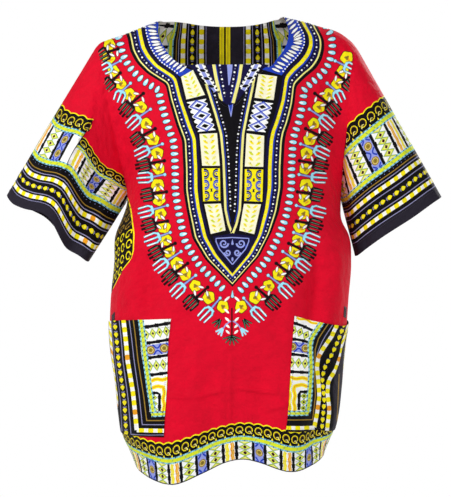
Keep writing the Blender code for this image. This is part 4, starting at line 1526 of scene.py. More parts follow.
# %% The strip of rings under the left arm
SIDE_SEEN = (
    (128.0, 198.0), (131.0, 209.5), (134.0, 233.6), (133.4, 251.4),
    (130.5, 260.0), (122.8, 269.3), (117.0, 281.0), (113.0, 289.0),
)
side_edge = seen(fine_line(SIDE_SEEN, 4.0))
corners = [(-FLAT_HALF, side_edge[-1, 1]), (-FLAT_HALF, side_edge[0, 1])]
side_print = [(np.concatenate([side_edge, spaced(corners, 0.01, False)]), "black")]
side_print.append((stroke(side_edge, 0.0022), "yellow"))
for row, y in enumerate(np.arange(side_edge[0, 1] + 0.016, side_edge[-1, 1] - 0.008, 0.0185)):
    reach = np.interp(y, side_edge[:, 1], side_edge[:, 0]) - 0.010
    for x in np.arange(reach, -FLAT_HALF + 0.006, -0.0205):
        # The rings of the four rows nearest the armpit are brown instead of yellow: painted shade
        # under the arm.
        side_print.append((dot(x, y, 0.0074, 12), "yellow" if row > 3 else "brown"))
        side_print.append((dot(x, y, 0.0050, 10), "black"))
        notch = np.array([(x, y), (x + 0.009, y + 0.002), (x + 0.006, y + 0.008)])
        stem = [(x + 0.0055, y + 0.0052), (x + 0.0015, y + 0.0015)]
        side_print.append((notch, "black"))
        side_print.append((stroke(stem, 0.002), "brown"))
PRINTS["front"] += side_print + laid(ring_print + yoke, seen)
print("front", len(PRINTS["front"]), "shapes")

# %% [markdown]
# The same border runs round the sleeves, along the hem and over the pockets. It is built in
# rows, in millimetres along and up from the edge: plain lines, dashes, drops, a braid, a row
# of blocks, another braid and a row of open rings under a scalloped line.

# %% Rows of the border


def stripe(s0, s1, w0, w1, dye):
    """A plain stripe of the border."""
    return [(spaced([(s0, w0), (s1, w0), (s1, w1), (s0, w1)], 9.0), dye)]


def dashes(s0, s1, middle, tall=7.0, pitch=16.0):
    """White and yellow dashes in turn."""
    shapes = stripe(s0, s1, middle - tall / 2, middle + tall / 2, "white")
    for k, s in enumerate(np.arange(s0, s1 - pitch / 2, pitch)):
        dye = "orange" if k % 17 == 14 else "yellow"
        low, high = middle - tall / 2, middle + tall / 2
        block = [
            (s, low), (s + 7.4, low), (s + 8.4, middle), (s + 7.6, high), (s + 0.2, high),
            (s - 0.8, middle),
        ]
        shapes.append((np.array(block), dye))
    return shapes


def drop_row(s0, s1, middle, pitch=13.8):
    """Yellow drops with a blue-grey bar between each two."""
    shapes = []
    for s in np.arange(s0 + pitch / 2, s1, pitch):
        shapes.append((tear(s, middle, math.pi, 9.6, 7.6), "yellow"))
        shapes.append((leaf(s + 1.4, middle, 0.4, 3.0, 1.6), "pale"))
        hook = [(s + 5.6, middle + 2.6), (s + 6.6, middle), (s + 5.6, middle - 2.6)]
        shapes.append((stroke(hook, 1.7), "grey"))
    return shapes


def braid(s0, s1, w0, w1, pitch=4.2):
    """A yellow-green rope between two pale blue lines of small marks."""
    line = (w1 - w0) * 0.22
    shapes = stripe(s0, s1, w0, w1, "teal") + stripe(s0, s1, w0 + line, w1 - line, "lime")
    for k, s in enumerate(np.arange(s0 + 1.5, s1, pitch)):
        for w in (w0 + line / 2, w1 - line / 2):
            strand = stroke([(s - 0.6, w - line * 0.45), (s + 0.6, w + line * 0.45)], 1.3)
            shapes.append((strand, "sky" if k % 2 else "navy"))
        if k % 2:
            blade = leaf(s, (w0 + w1) / 2, 0.9, (w1 - w0) * 0.42, 1.2)
            shapes.append((blade, "yellow" if k % 4 == 1 else "green"))
    return shapes


def open_rings(s0, s1, w0, w1, pitch=18.6, first=0.5):
    """Open rings with a hook, on black, under a scalloped yellow line."""
    middle = (w0 + w1) / 2 - 0.5
    radius = min(pitch * 0.41, (w1 - w0) * 0.36)
    top = []
    for s in np.arange(s0, s1 + 0.1, pitch / 8):
        wave = abs(math.sin(math.pi * (s - s0 - (first - 0.5) * pitch) / pitch))
        top.append((s, w1 - 1.6 + 2.6 * wave))
    shapes = [(np.concatenate([np.array(top), spaced([(s1, w0), (s0, w0)], 9.0, False)]), "black")]
    for s in np.arange(s0 + first * pitch, s1, pitch):
        shapes.append((dot(s, middle, radius, 12), "yellow"))
        shapes.append((dot(s, middle, radius - 1.0, 11), "brown"))
        shapes.append((dot(s, middle, radius - 2.2, 11), "black"))
        gap = [
            (s + 0.3, middle - 0.2), (s + radius + 1.0, middle - 0.55 * radius),
            (s + 0.9 * radius, middle - radius - 1.0),
        ]
        shapes.append((np.array(gap), "black"))
        hook = [
            (s + 0.75 * radius, middle - 0.95 * radius),
            (s + 0.30 * radius, middle - 0.30 * radius),
            (s - 0.15 * radius, middle - 0.45 * radius),
        ]
        shapes.append((stroke(hook, 1.9, 1.2), "pale"))
        spike = s + pitch / 2
        if spike < s1:
            tooth = [(spike - 1.9, w0 + 0.2), (spike, w0 + 4.4), (spike + 1.9, w0 + 0.2)]
            shapes.append((np.array(tooth), "yellow"))
    shapes.append((stroke(np.array(top), 1.9), "yellow"))
    return shapes


def diamonds(s, w0, w1, pitch=12.0, half=8.4):
    """A column of lozenges, each with a dark heart."""
    shapes, tall = [], pitch * 0.54
    count = max(2, round((w1 - w0) / pitch))
    step_up = (w1 - w0) / count
    for k in range(count + 1):
        w = w0 + k * step_up
        outer = [("green", half, tall), ("lime", half - 1.8, tall - 1.2)]
        inner = [("pale", half * 0.55, tall - 2.6), ("black", 3.2, 3.3)]
        for dye, a, b in outer + inner:
            corners = np.array([(s - a, w), (s, w - b), (s + a, w), (s, w + b)])
            corners[:, 1] = np.clip(corners[:, 1], w0, w1)
            if np.ptp(corners[:, 1]) > 0.5 and (dye != "black" or 0 < k < count):
                if 0 < k < count:
                    shapes.append((corners, dye))
                elif k == 0:
                    shapes.append((corners[[0, 2, 3]], dye))
                else:
                    shapes.append((corners[[0, 1, 2]], dye))
        if 0 < k < count:
            shapes.append((dot(s, w, 1.2, 5), "maroon"))
    return shapes


def knobbed_bar(s, w0, w1, width=5.0):
    """An upright black bar with small knobs."""
    left, right = s - width / 2, s + width / 2
    shapes = [(np.array([(left, w0), (right, w0), (right, w1), (left, w1)]), "black")]
    for share in (0.28, 0.66):
        shapes.append((bloom(s, w0 + share * (w1 - w0), width * 0.78, 4, 0.78, 0.2), "black"))
    return shapes


def wavy_pair(s, w0, w1, wide=5.6, apart=4.4):
    """Two wavy bars, yellow and orange, side by side."""
    shapes = []
    heights = np.linspace(w0 + 0.6, w1 - 0.6, 9)
    for way in (-1, 1):
        line = [(s + way * (apart + 0.9 * math.sin(w * 0.55)), w) for w in heights]
        shapes.append((stroke(line, wide), "yellow" if way < 0 else "orange"))
        shapes.append((stroke(np.array(line) + (way * 0.4, 0), 0.8), "pale"))
    return shapes


def coin_column(s, w0, w1, half=10.5):
    """Gold coins on a lilac and navy ground, crossed by royal blue arcs."""
    left, right = s - half, s + half
    shapes = [(np.array([(left, w0), (right, w0), (right, w1), (left, w1)]), "lilac")]
    count = max(1, round((w1 - w0) / 27))
    for k in range(count + 1):
        w = w0 + k * (w1 - w0) / count
        for way in (-1, 1):
            bend = np.array([(0.86, 7.0), (0.36, 2.6), (0.24, 0.0), (0.36, -2.6), (0.86, -7.0)])
            arc = np.array([s, w]) + bend * (way * half, 1)
            arc[:, 1] = np.clip(arc[:, 1], w0 + 0.4, w1 - 0.4)
            shapes.append((stroke(arc, 2.6), "blue"))
    for k in range(count):
        w = w0 + (k + 0.5) * (w1 - w0) / count
        radius = min(half * 0.80, (w1 - w0) / count * 0.40)
        shapes.append((dot(s, w, radius, 11), "brown"))
        shapes.append((dot(s, w, radius * 0.72, 9), "pale"))
        shapes.append((dot(s, w, radius * 0.60, 9), "brown"))
        shapes.append((dot(s, w, radius * 0.26, 6), "olive"))
    return shapes


def block_row(s0, s1, w0, w1, first, period=114.0, pitch=12.0):
    """The row of blocks: wavy bars, lozenges and coins with black bars between them."""
    shapes = stripe(s0, s1, w0, w1, "white")
    scale = period / 114.0
    for middle in np.arange(first - 3 * period, s1 + period, period):
        parts = [(middle, wavy_pair, {})]
        for way in (-1, 1):
            parts.append((middle + way * 13.0 * scale, knobbed_bar, {"width": 5.4 * scale}))
            sizes = {"pitch": pitch, "half": 12.8 * scale}
            parts.append((middle + way * 29.2 * scale, diamonds, sizes))
            parts.append((middle + way * 45.4 * scale, knobbed_bar, {"width": 5.4 * scale}))
        parts.append((middle + 57.0 * scale, coin_column, {"half": 9.2 * scale}))
        for s, pen, sizes in parts:
            if s0 + 12 < s < s1 - 12:
                shapes.extend(pen(s, w0, w1, **sizes))
    return shapes


print("border rows ready:", len(block_row(-60, 60, 0, 50, 0)), "shapes in one repeat")

# %% [markdown]
# A sleeve is printed from its cuff up. Distance round the sleeve is measured on the real,
# folded surface at that height, so that the motifs keep their size where the sleeve widens.

# %% Printing the sleeves
SLEEVE_ROWS = {
    RIGHT: {
        "hem": 20.0, "dash": (32.5, 71.5), "thin": (21.8, 40.2, 61.5, 79.5), "drop": 51.0,
        "gold": 84.5, "braid": (92.0, 103.0), "upper_braid": (158.0, 169.0),
        "rings": (169.0, 196.0), "first": 52.0,
    },
    LEFT: {
        "hem": 15.5, "dash": (24.5, 59.5), "thin": (17.0, 31.5, 52.0, 67.0), "drop": 42.5,
        "gold": 72.5, "braid": (83.5, 94.0), "upper_braid": (146.0, 156.0),
        "rings": (156.0, 181.0), "first": 22.0,
    },
}


def sleeve_round_table(side):
    """Heights above the cuff, and the distance round the sleeve at each."""
    surface = sleeve_cloth(side)
    a = np.linspace(-0.5, 0.5, 161) * SLEEVE_WIDTH[side]
    heights = np.linspace(0, 0.24, 13)
    tables = []
    for w in heights:
        ring = surface(np.stack([a, np.full_like(a, w)], -1), 0.0)
        run = run_along(ring)
        tables.append(run - run[80])
    return a, heights, np.array(tables)


def row_place(a, heights, tables):
    """A function from millimetres along and up a border to places of flat cloth."""

    def place(points):
        s, w = points[:, 0] / 1000, points[:, 1] / 1000
        j = np.clip(np.searchsorted(heights, w) - 1, 0, len(heights) - 2)
        share = np.clip((w - heights[j]) / (heights[j + 1] - heights[j]), 0, 1)
        rows = tables[j] * (1 - share[:, None]) + tables[j + 1] * share[:, None]
        k = np.clip((rows < s[:, None]).sum(1) - 1, 0, len(a) - 2)
        index = np.arange(len(s))
        low, high = rows[index, k], rows[index, k + 1]
        return np.stack([a[k] + (a[k + 1] - a[k]) * (s - low) / (high - low), w], -1)

    return place


ROW_SPREAD = 0.13


def lower_rows(ends, rows):
    """The rows from the cuff up to the first braid."""
    border = stripe(*ends, -3, rows["braid"][0] + 1, "black")
    border += stripe(*ends, -3, rows["hem"], "charcoal")
    for w in rows["thin"]:
        border += stripe(*ends, w - 0.7, w + 0.7, "grey")
    for w in rows["dash"]:
        border += dashes(*ends, w)
    border += drop_row(*ends, rows["drop"])
    border += stripe(*ends, rows["gold"] - 0.8, rows["gold"] + 0.8, "brown")
    for s in np.arange(ends[0], ends[1], 9.0):
        border.append((dot(s, rows["braid"][0] - 3.4, 0.7, 5), "lilac"))
    return border + braid(*ends, *rows["braid"])


def upper_rows(ends, rows, first):
    """The rows from the first braid up: blocks, braid and rings."""
    border = block_row(*ends, rows["braid"][1], rows["upper_braid"][0], first)
    return border + braid(*ends, *rows["upper_braid"]) + open_rings(*ends, *rows["rings"])


def widened(place, start):
    """The same place function, with the rows further apart towards the armpit."""

    def wide(points):
        share = 1 + ROW_SPREAD * step((points[:, 0] - start) / 120.0)
        return place(points * np.stack([np.ones_like(share), share], -1))

    return wide


def beyond_fold(place, base, start):
    """The same place function where a fold has swallowed cloth: heights above base shrink."""

    def folded(points):
        moved = np.array(points, float)
        share = 0.39 + 0.10 * step((moved[:, 0] - start) / 100.0)
        high = moved[:, 1] > base
        moved[high, 1] = base + (moved[high, 1] - base) * (1 - share[high])
        return place(moved)

    return folded


for half, name in ((LEFT, "sleeve_left"), (RIGHT, "sleeve_right")):
    rows = SLEEVE_ROWS[half]
    a_steps, w_steps, run_table = sleeve_round_table(half)
    reach = 1000 * np.abs(run_table[:, [0, -1]]).max() + 4
    on_sleeve = row_place(a_steps, w_steps, run_table)
    if half == LEFT:
        fold = 1000 * float(np.interp(KNIFE_PLACE * SLEEVE_WIDTH[LEFT], a_steps, run_table[7]))
        on_sleeve = widened(on_sleeve, fold - 10)
    PRINTS[name] += laid(lower_rows((-reach, reach), rows), on_sleeve)
    if half == LEFT:
        past = beyond_fold(on_sleeve, rows["braid"][1], fold)
        PRINTS[name] += laid(upper_rows((fold + 1.0, reach), rows, 124.0), past)
        plain = stripe(fold - 14, fold + 1.2, rows["braid"][1], 225.0, "red")
        # The thin black stripe just past the fold is painted shadow, the shade under the fold's
        # lip inked into the cloth.
        shade = stripe(fold + 1.0, fold + 2.4, rows["braid"][1], 178.0, "black")
        PRINTS[name] += laid(plain, on_sleeve)
        PRINTS[name] += laid(upper_rows((-reach, fold + 1.0), rows, rows["first"]), on_sleeve)
        PRINTS[name] += laid(shade, on_sleeve)
    else:
        PRINTS[name] += laid(upper_rows((-reach, reach), rows, rows["first"]), on_sleeve)
    print(name, len(PRINTS[name]), "shapes; round the cuff", run_table[0, -1] - run_table[0, 0])

# %% [markdown]
# The hem has the same border without its lower lines. It follows the wavy edge of the front
# and the back, so its heights are measured up from the hem, and its lengths along the cloth.

# %% Printing the hems
FIRST_BLOCK = {FRONT: 4.0, BACK: -20.0}
HEM_ROWS = {"blocks": 32.0, "braid": (32.0, 42.0), "rings": (42.0, 63.0)}


def hem_table(side):
    """Heights above the hem, and the distance along the cloth at each place across it."""
    u = np.linspace(-1, 1, 161)
    heights = np.linspace(0, 0.08, 6)
    tables = []
    for w in heights:
        row = body(u, hem_length(u, side) - w, side)
        run = run_along(row)
        tables.append(run - run[80])
    return u * FLAT_HALF, heights, np.array(tables)


HEM_RISE_AT = (-1.0, -0.5, 0.0, 0.15, 0.5, 1.0)
HEM_RISE = (1.06, 1.10, 0.97, 0.97, 1.04, 1.0)


def hem_place(side):
    """A function from millimetres along and up the hem to places of flat cloth."""
    a, heights, tables = hem_table(side)
    on_row = row_place(a, heights, tables)

    def place(points):
        p = on_row(points)
        u = np.clip(p[:, 0] / FLAT_HALF, -1, 1)
        rise = p[:, 1] * np.interp(u, HEM_RISE_AT, HEM_RISE)
        return np.stack([p[:, 0], hem_length(u, side) - rise], -1)

    return place, 1000 * np.abs(tables[:, [0, -1]]).max() + 3


for side, name in ((FRONT, "front"), (BACK, "back")):
    place_on_hem, reach = hem_place(side)
    ends = (-reach, reach)
    border = stripe(*ends, -4, 3, "black")
    border += block_row(*ends, 1.2, HEM_ROWS["blocks"], FIRST_BLOCK[side], 97.0, 10.6)
    border += stripe(*ends, -4, 1.6, "black")
    border += braid(*ends, *HEM_ROWS["braid"], 6.0)
    border += open_rings(*ends, *HEM_ROWS["rings"], pitch=15.6)
    PRINTS[name] += laid(border, place_on_hem)
    print(name, len(PRINTS[name]), "shapes; half along the hem", reach)

# %% [markdown]
# The pockets are cut from a corner of the border, where its rows turn and meet. Their rows
# are drawn on the drawing plane: upright ones near the side of the body, and level ones
# that reach the inner edge, with a mitred corner of black bands at the foot.

# %% Printing the pockets


def band_between(first, second):
    """The band between two lines."""
    return np.concatenate([fine_line(first, 5.0), fine_line(second, 5.0)[::-1]])


def band(dye, first, second):
    """An inked band between two lines."""
    return [(band_between(first, second), dye)]


def upright(points, width, dye):
    """An upright band of a pocket."""
    return [(stroke(fine_line(points, 6.0), width), dye)]


def upright_dashes(points, width, pitch):
    """Upright white and yellow dashes."""
    line = fine_line(points, 5.0)
    shapes = [(stroke(line, width), "white")]
    for k, ((x, y), way) in enumerate(zip(*along(line, pitch))):
        half = pitch * 0.25
        corner = [
            (-half, -width / 2), (half, -width / 2), (half + 0.5, 0), (half, width / 2),
            (-half, width / 2), (-half - 0.5, 0),
        ]
        shapes.append((turned(corner, x, y, way), "orange" if k % 6 == 4 else "yellow"))
    return shapes


def upright_drops(points, pitch):
    """Upright yellow drops with a blue-grey bar between each two."""
    shapes = []
    for (x, y), way in zip(*along(fine_line(points, 5.0), pitch)):
        shapes.append((tear(x, y, way, 5.4, 4.0), "yellow"))
        after = (x + 4.0 * math.cos(way), y + 4.0 * math.sin(way))
        bar = turned([(0, -1.6), (0.5, 0), (0, 1.6)], *after, way)
        shapes.append((stroke(bar, 1.0), "grey"))
    return shapes


def upright_braid(points, width):
    """An upright braid."""
    line = fine_line(points, 4.0)
    aside = normals_along(line) * width * 0.39
    shapes = [(stroke(line, width), "teal"), (stroke(line, width * 0.54), "lime")]
    for edge in (line - aside, line + aside):
        for k, ((x, y), way) in enumerate(zip(*along(edge, 2.4))):
            strand = stroke(turned([(-0.35, -0.7), (0.35, 0.7)], x, y, way), 0.8)
            shapes.append((strand, "sky" if k % 2 else "navy"))
    for (x, y), way in zip(*along(line, 4.8)):
        shapes.append((leaf(x, y, way + 0.8, 2.6, 0.8), "green"))
    return shapes


def level_lozenges(points, tall, pitch, wide=None):
    """A level row of lozenges along a line."""
    shapes = []
    half = (wide or pitch) * 0.52
    for (x, y), way in zip(*along(fine_line(points, 3.0), pitch)):
        for dye, a, b in (
            ("green", half, tall), ("lime", half - 0.8, tall - 0.7),
            ("pale", half - 1.9, tall - 1.9), ("black", 1.2, 1.7),
        ):
            shapes.append((turned([(-a, 0), (0, -b), (a, 0), (0, b)], x, y, way), dye))
    return shapes


COIN_ARC = ((-4.3, -0.5), (-1.6, -0.18), (0.0, -0.10), (1.6, -0.18), (4.3, -0.5))


def level_coins(points, tall, pitch):
    """A level row of coins with blue arcs between them."""
    line = fine_line(points, 3.0)
    shapes = [(stroke(line, tall), "lilac")]
    for (x, y), way in zip(*along(line, pitch)):
        for turn_way in (-1, 1):
            arc = np.array(COIN_ARC) * (1, turn_way * tall)
            after = (x + pitch / 2 * math.cos(way), y + pitch / 2 * math.sin(way))
            shapes.append((stroke(turned(arc, *after, way), 1.5), "blue"))
        shapes.append((dot(x, y, tall * 0.42, 11), "brown"))
        shapes.append((dot(x, y, tall * 0.28, 8), "pale"))
        shapes.append((dot(x, y, tall * 0.22, 8), "brown"))
        shapes.append((dot(x, y, tall * 0.10, 5), "olive"))
    return shapes


def level_bar(points, width=2.6):
    """A black bar with small knobs."""
    line = fine_line(points, 4.0)
    shapes = [(stroke(line, width), "black")]
    for x, y in along(line, 9.5)[0]:
        shapes.append((bloom(x, y, width * 0.75, 4, 0.78, 0.2), "black"))
    return shapes


def level_waves(points, width=3.0):
    """A wavy yellow bar along a line."""
    line = fine_line(points, 2.5)
    aside = normals_along(line) * (0.7 * np.sin(np.arange(len(line)) * 1.3))[:, None]
    return [(stroke(line + aside, width), "yellow"), (stroke(line + aside, width * 0.3), "orange")]


SIDE_TURN, SIDE_SHARE = 0.200, 0.45


def on_pocket(points):
    """Flat places of a pocket, with its rows held together where it turns to the side."""
    p = seen(points)
    out = np.abs(p[:, 0])
    out = np.minimum(out, SIDE_TURN) + np.maximum(out - SIDE_TURN, 0) * SIDE_SHARE
    return np.stack([np.sign(p[:, 0]) * out, p[:, 1]], -1)


# %% [markdown]
# Each row of a pocket's table is one pen with its line on the drawing plane and its sizes.
# The left pocket's inner edge is on the right and the body's side on the left. The right
# pocket's rows sweep with the fold at the side. Later rows lie over earlier ones.

# %% The rows of the pockets
POCKET_ROWS = {
    "pocket_left": (
        (
            band, "white", ((136, 318), (150, 400), (150, 440)),
            ((176, 314), (174, 380), (172, 440)),
        ),
        (level_bar, ((143.0, 327.6), (157.0, 325.4), (173.0, 322.6)), 3.0),
        (level_lozenges, ((143.5, 335.2), (158.0, 332.6), (173.0, 330.2)), 5.4, 6.7),
        (level_bar, ((144.5, 343.6), (158.0, 341.6), (173.0, 338.9)), 2.8),
        (level_coins, ((144.5, 351.0), (158.0, 349.2), (174.0, 346.6)), 10.5, 13.5),
        (level_bar, ((145.5, 358.4), (158.0, 356.6), (173.0, 354.4)), 2.8),
        (level_lozenges, ((147.0, 366.6), (160.0, 365.0), (173.0, 363.0)), 5.6, 6.7),
        (level_bar, ((147.5, 375.4), (160.0, 373.8), (173.0, 372.0)), 2.8),
        (level_waves, ((148.0, 380.6), (160.0, 379.4), (169.4, 378.6), (169.4, 412.0)), 3.8),
        (level_waves, ((149.0, 387.4), (158.0, 386.8), (164.2, 386.4), (164.2, 412.0)), 3.8),
        (level_bar, ((149.0, 393.4), (154.0, 393.0), (160.0, 392.6), (160.0, 411.0)), 2.6),
        (level_lozenges, ((154.0, 394.6), (155.0, 411.0)), 4.0, 6.0),
        (
            band, "black", ((100, 311), (104, 380), (108, 445)),
            ((138.6, 311), (143.4, 370), (150.5, 411)),
        ),
        (
            band, "black", ((108, 412), (150.0, 411.6), (176, 410.6)),
            ((108, 445), (150, 444), (176, 443)),
        ),
        (upright_braid, ((141.3, 316), (145.4, 355), (150.4, 392), (154.0, 413.2)), 5.6),
        (upright_braid, ((152.0, 414.4), (162.0, 414.0), (175.0, 413.4)), 5.0),
        (upright, ((134.0, 316), (138.6, 360), (144.4, 396), (147.4, 420.6)), 1.0, "brown"),
        (upright, ((146.8, 420.4), (160.0, 420.4), (174.0, 420.0)), 1.0, "brown"),
        (upright, ((130.0, 316), (134.8, 360), (140.0, 396), (143.0, 424.6)), 0.8, "grey"),
        (upright, ((142.6, 424.4), (158.0, 424.6), (172.0, 424.4)), 0.8, "grey"),
        (upright_dashes, ((124.6, 316), (128.4, 360), (133.8, 392), (137.6, 429.8)), 4.2, 9.2),
        (upright_dashes, ((137.6, 430.0), (154.0, 430.4), (171.0, 430.6)), 4.0, 9.2),
        (upright, ((120.6, 316), (123.8, 360), (128.8, 396), (132.0, 434.4)), 0.8, "grey"),
        (upright, ((131.6, 434.0), (150.0, 434.8), (170.0, 434.8)), 0.8, "grey"),
        (upright_drops, ((116.0, 316), (119.4, 360), (125.4, 400), (127.4, 438)), 7.6),
        (upright, ((112.6, 316), (115.8, 360), (121.4, 400), (122.6, 438)), 0.8, "grey"),
        (upright_dashes, ((109.4, 314), (111.4, 360), (116.0, 400), (117.6, 438)), 4.0, 9.2),
    ),
    "pocket_right": (
        (
            band, "white", ((284, 312), (282, 380), (280, 440)),
            ((322, 320), (311.6, 345), (309.6, 440)),
        ),
        (level_waves, ((296.0, 317.5), (306.0, 320.2), (318.0, 324.8)), 2.4),
        (level_bar, ((291.0, 322.0), (301.0, 325.4), (312.0, 330.5)), 2.6),
        (level_lozenges, ((290.0, 329.6), (300.0, 332.2), (309.0, 336.6)), 5.0, 6.6),
        (level_bar, ((289.0, 338.6), (300.0, 340.0), (309.0, 342.6)), 2.6),
        (level_coins, ((285.6, 346.0), (298.0, 347.2), (310.0, 349.2)), 10.0, 13.0),
        (level_bar, ((288.0, 353.8), (298.0, 354.8), (309.0, 356.4)), 2.6),
        (level_lozenges, ((288.0, 362.2), (298.0, 362.8), (309.0, 364.0)), 5.4, 6.6),
        (level_bar, ((287.0, 371.4), (298.0, 372.0), (309.0, 372.6)), 2.6),
        (level_waves, ((288.6, 411.0), (288.8, 377.8), (298.0, 378.2), (309.0, 378.8)), 3.8),
        (level_waves, ((293.8, 411.0), (294.0, 385.0), (300.0, 385.2), (308.0, 385.8)), 3.8),
        (level_bar, ((298.2, 410.0), (298.6, 391.6), (303.0, 391.8), (308.0, 392.0)), 2.6),
        (level_lozenges, ((303.6, 393.0), (302.6, 410.0)), 3.8, 6.0),
        (
            band, "black",
            (
                (322.5, 321.0), (312.4, 337.6), (311.0, 344.6), (312.0, 370), (310.0, 400),
                (308.6, 411),
            ),
            ((356, 316), (356, 345), (354, 380), (352, 411)),
        ),
        (
            band, "black", ((282, 410.4), (300, 410.8), (352, 410.8)),
            ((282, 440), (300, 440), (352, 440)),
        ),
        (
            upright_braid,
            (
                (321.0, 322.0), (311.0, 337.6), (309.4, 345.0), (310.6, 370), (308.6, 400),
                (307.0, 412.6),
            ),
            5.4,
        ),
        (upright_braid, ((283.0, 413.2), (295.0, 413.4), (307.6, 413.0)), 4.8),
        (
            upright,
            (
                (327.0, 323.5), (317.5, 339.0), (314.4, 350.0), (314.0, 376.0), (314.6, 396.0),
                (311.8, 419.4),
            ),
            1.0, "brown",
        ),
        (upright, ((284.0, 419.8), (298.0, 419.8), (312.0, 419.4)), 1.0, "brown"),
        (upright, ((331.0, 325.0), (322.0, 340.0), (316.8, 352.0), (315.2, 366.0)), 0.8, "grey"),
        (
            upright_dashes,
            (
                (336.4, 322.0), (330.6, 336.4), (322.3, 348.5), (317.4, 357.5), (316.2, 366.8),
                (317.4, 379.7), (318.5, 395.7), (316.0, 414.0), (313.4, 427.0),
            ),
            3.9, 8.6,
        ),
        (upright_dashes, ((284.0, 427.6), (298.0, 427.8), (313.6, 427.4)), 3.8, 8.8),
        (upright, ((284.0, 432.6), (300.0, 432.8), (318.0, 432.6)), 0.8, "grey"),
        (
            upright_drops,
            (
                (343.0, 322.0), (336.8, 340.8), (330.8, 354.5), (324.6, 365.0), (321.2, 377.5),
                (323.4, 400), (320.8, 430.0),
            ),
            6.6,
        ),
        (
            upright_dashes,
            (
                (349.0, 322.0), (344.6, 337.0), (340.0, 354.0), (335.0, 368.9), (327.4, 380.7),
                (326.4, 392.5), (328.4, 410.0), (325.6, 432.0),
            ),
            3.8, 8.6,
        ),
        (
            band, "charcoal",
            (
                (346.0, 340.0), (340.6, 356.0), (334.0, 374.0), (331.4, 388.0), (333.0, 405.0),
                (331.0, 436.0),
            ),
            ((352.0, 340.0), (351.0, 360.0), (347.0, 385.0), (344.0, 410.0), (340.0, 436.0)),
        ),
        (upright, ((338.0, 374.0), (337.0, 396.0), (336.0, 436.0)), 1.0, "brown"),
    ),
}
for name, rows in POCKET_ROWS.items():
    drawn = []
    for pen, *sizes in rows:
        drawn += pen(*sizes)
    PRINTS[name] += laid(drawn, on_pocket)

# %% [markdown]
# The edges that turn to the side seams get more of the same rows, straight on the cloth.

# %% The pockets' outer edges
EDGE_DASHES = {"pocket_left": (-0.259,), "pocket_right": (0.236, 0.259)}
EDGE_DROPS = {"pocket_left": (), "pocket_right": (0.2475,)}
MOUTH_Y, FOOT_Y = seen([(230, 312), (230, 445)])[:, 1] / SQUARE


def downwards(x):
    """An upright line of the flat cloth, from a pocket's mouth to its foot, in squares."""
    return [(x / SQUARE, MOUTH_Y), (x / SQUARE, FOOT_Y)]


for name, dash_places in EDGE_DASHES.items():
    drawn = []
    for x in dash_places:
        for shift in (-3.6 * SQUARE, 3.6 * SQUARE):
            drawn += upright(downwards(x + shift), 0.8, "grey")
        drawn += upright_dashes(downwards(x), 3.8, 9.2)
    for x in EDGE_DROPS[name]:
        drawn += upright_drops(downwards(x), 7.6)
    PRINTS[name] += laid(drawn, lambda points: np.asarray(points, float) * SQUARE)
print("pockets", len(PRINTS["pocket_left"]), len(PRINTS["pocket_right"]), "shapes")

# %% [markdown]
# The inset behind the slit is a scrap of the border too, cut where two pale lines and two
# rows of dots run down beside a blue wedge.

# %% Printing the inset
wedge = [(226.6, 58.0), (233.0, 58.0), (232.0, 72.0), (229.4, 85.0), (228.4, 85.0)]
pale_lines = {
    1: ((213.0, 60.0), (216.0, 78.0), (221.4, 101.0)),
    -1: ((242.0, 60.0), (239.0, 80.0), (233.0, 103.0)),
}
dotted_lines = (((219.0, 60.0), (225.0, 98.0)), ((236.4, 60.0), (230.4, 98.0)))
leaf_columns = {
    1: ((197.0, 58.0), (205.0, 76.0), (214.5, 92.0)),
    -1: ((260.0, 58.0), (252.0, 74.0), (243.0, 90.0)),
}
drawn = [(np.array(wedge), "lilac")]
for way, points in pale_lines.items():
    line = fine_line(points, 4.0)
    drawn.append((stroke(line, 3.2), "pale"))
    drawn.append((stroke(line + (2.2 * way, 0), 0.8), "blue"))
for points in dotted_lines:
    for k, (x, y) in enumerate(along(fine_line(points, 4.0), 3.5)[0]):
        drawn.append((dot(x, y, 1.1 if k % 2 else 0.6, 6), "white" if k % 2 else "grey"))
for way, points in leaf_columns.items():
    line = fine_line(points, 3.0)
    drawn.append((stroke(line, 9.0), "white"))
    drawn.append((stroke(line, 3.4), "lilac"))
    for x, y in along(line, 9.0)[0]:
        drawn.append((leaf(x, y, 0.2 * way, 7.0, 3.0), "black"))
    for x, y in along(line, 4.5)[0]:
        for out in (way, -way):
            tooth = [(x + out * 5.2, y - 1.6), (x + out * 2.6, y), (x + out * 5.2, y + 1.6)]
            drawn.append((np.array(tooth), "black"))
PRINTS["neck_inset"] += laid(drawn, seen)
print("inset", len(PRINTS["neck_inset"]), "shapes")

# %% [markdown]
# Seen through the neck, the inside of the back shows the border's rows upright, the same on
# both sides of the middle. So the back is cut with two borders side by side: dark bands at
# the middle, then dashes, drops, braids, blocks and rings out towards plain red at the sides.

# %% Printing the back
BACK_MIDDLE = -3.0
NAPE_Z = 0.010


def back_place():
    """A function from millimetres across and down the back to places of its flat cloth."""
    u = np.linspace(-1, 1, 161)
    depths = np.linspace(0.0, 0.80, 25)
    tables = []
    for depth in depths:
        row = body(u, length_at(top_height(u, BACK) - NAPE_Z + depth), BACK)
        run = run_along(row)
        tables.append(run - run[80])
    on_row = row_place(u * FLAT_HALF, depths, np.array(tables))

    def place(points):
        p = on_row(points)
        u = p[:, 0] / FLAT_HALF
        return flat(u, length_at(top_height(np.clip(u, -1, 1), BACK) - NAPE_Z + p[:, 1]))

    return place


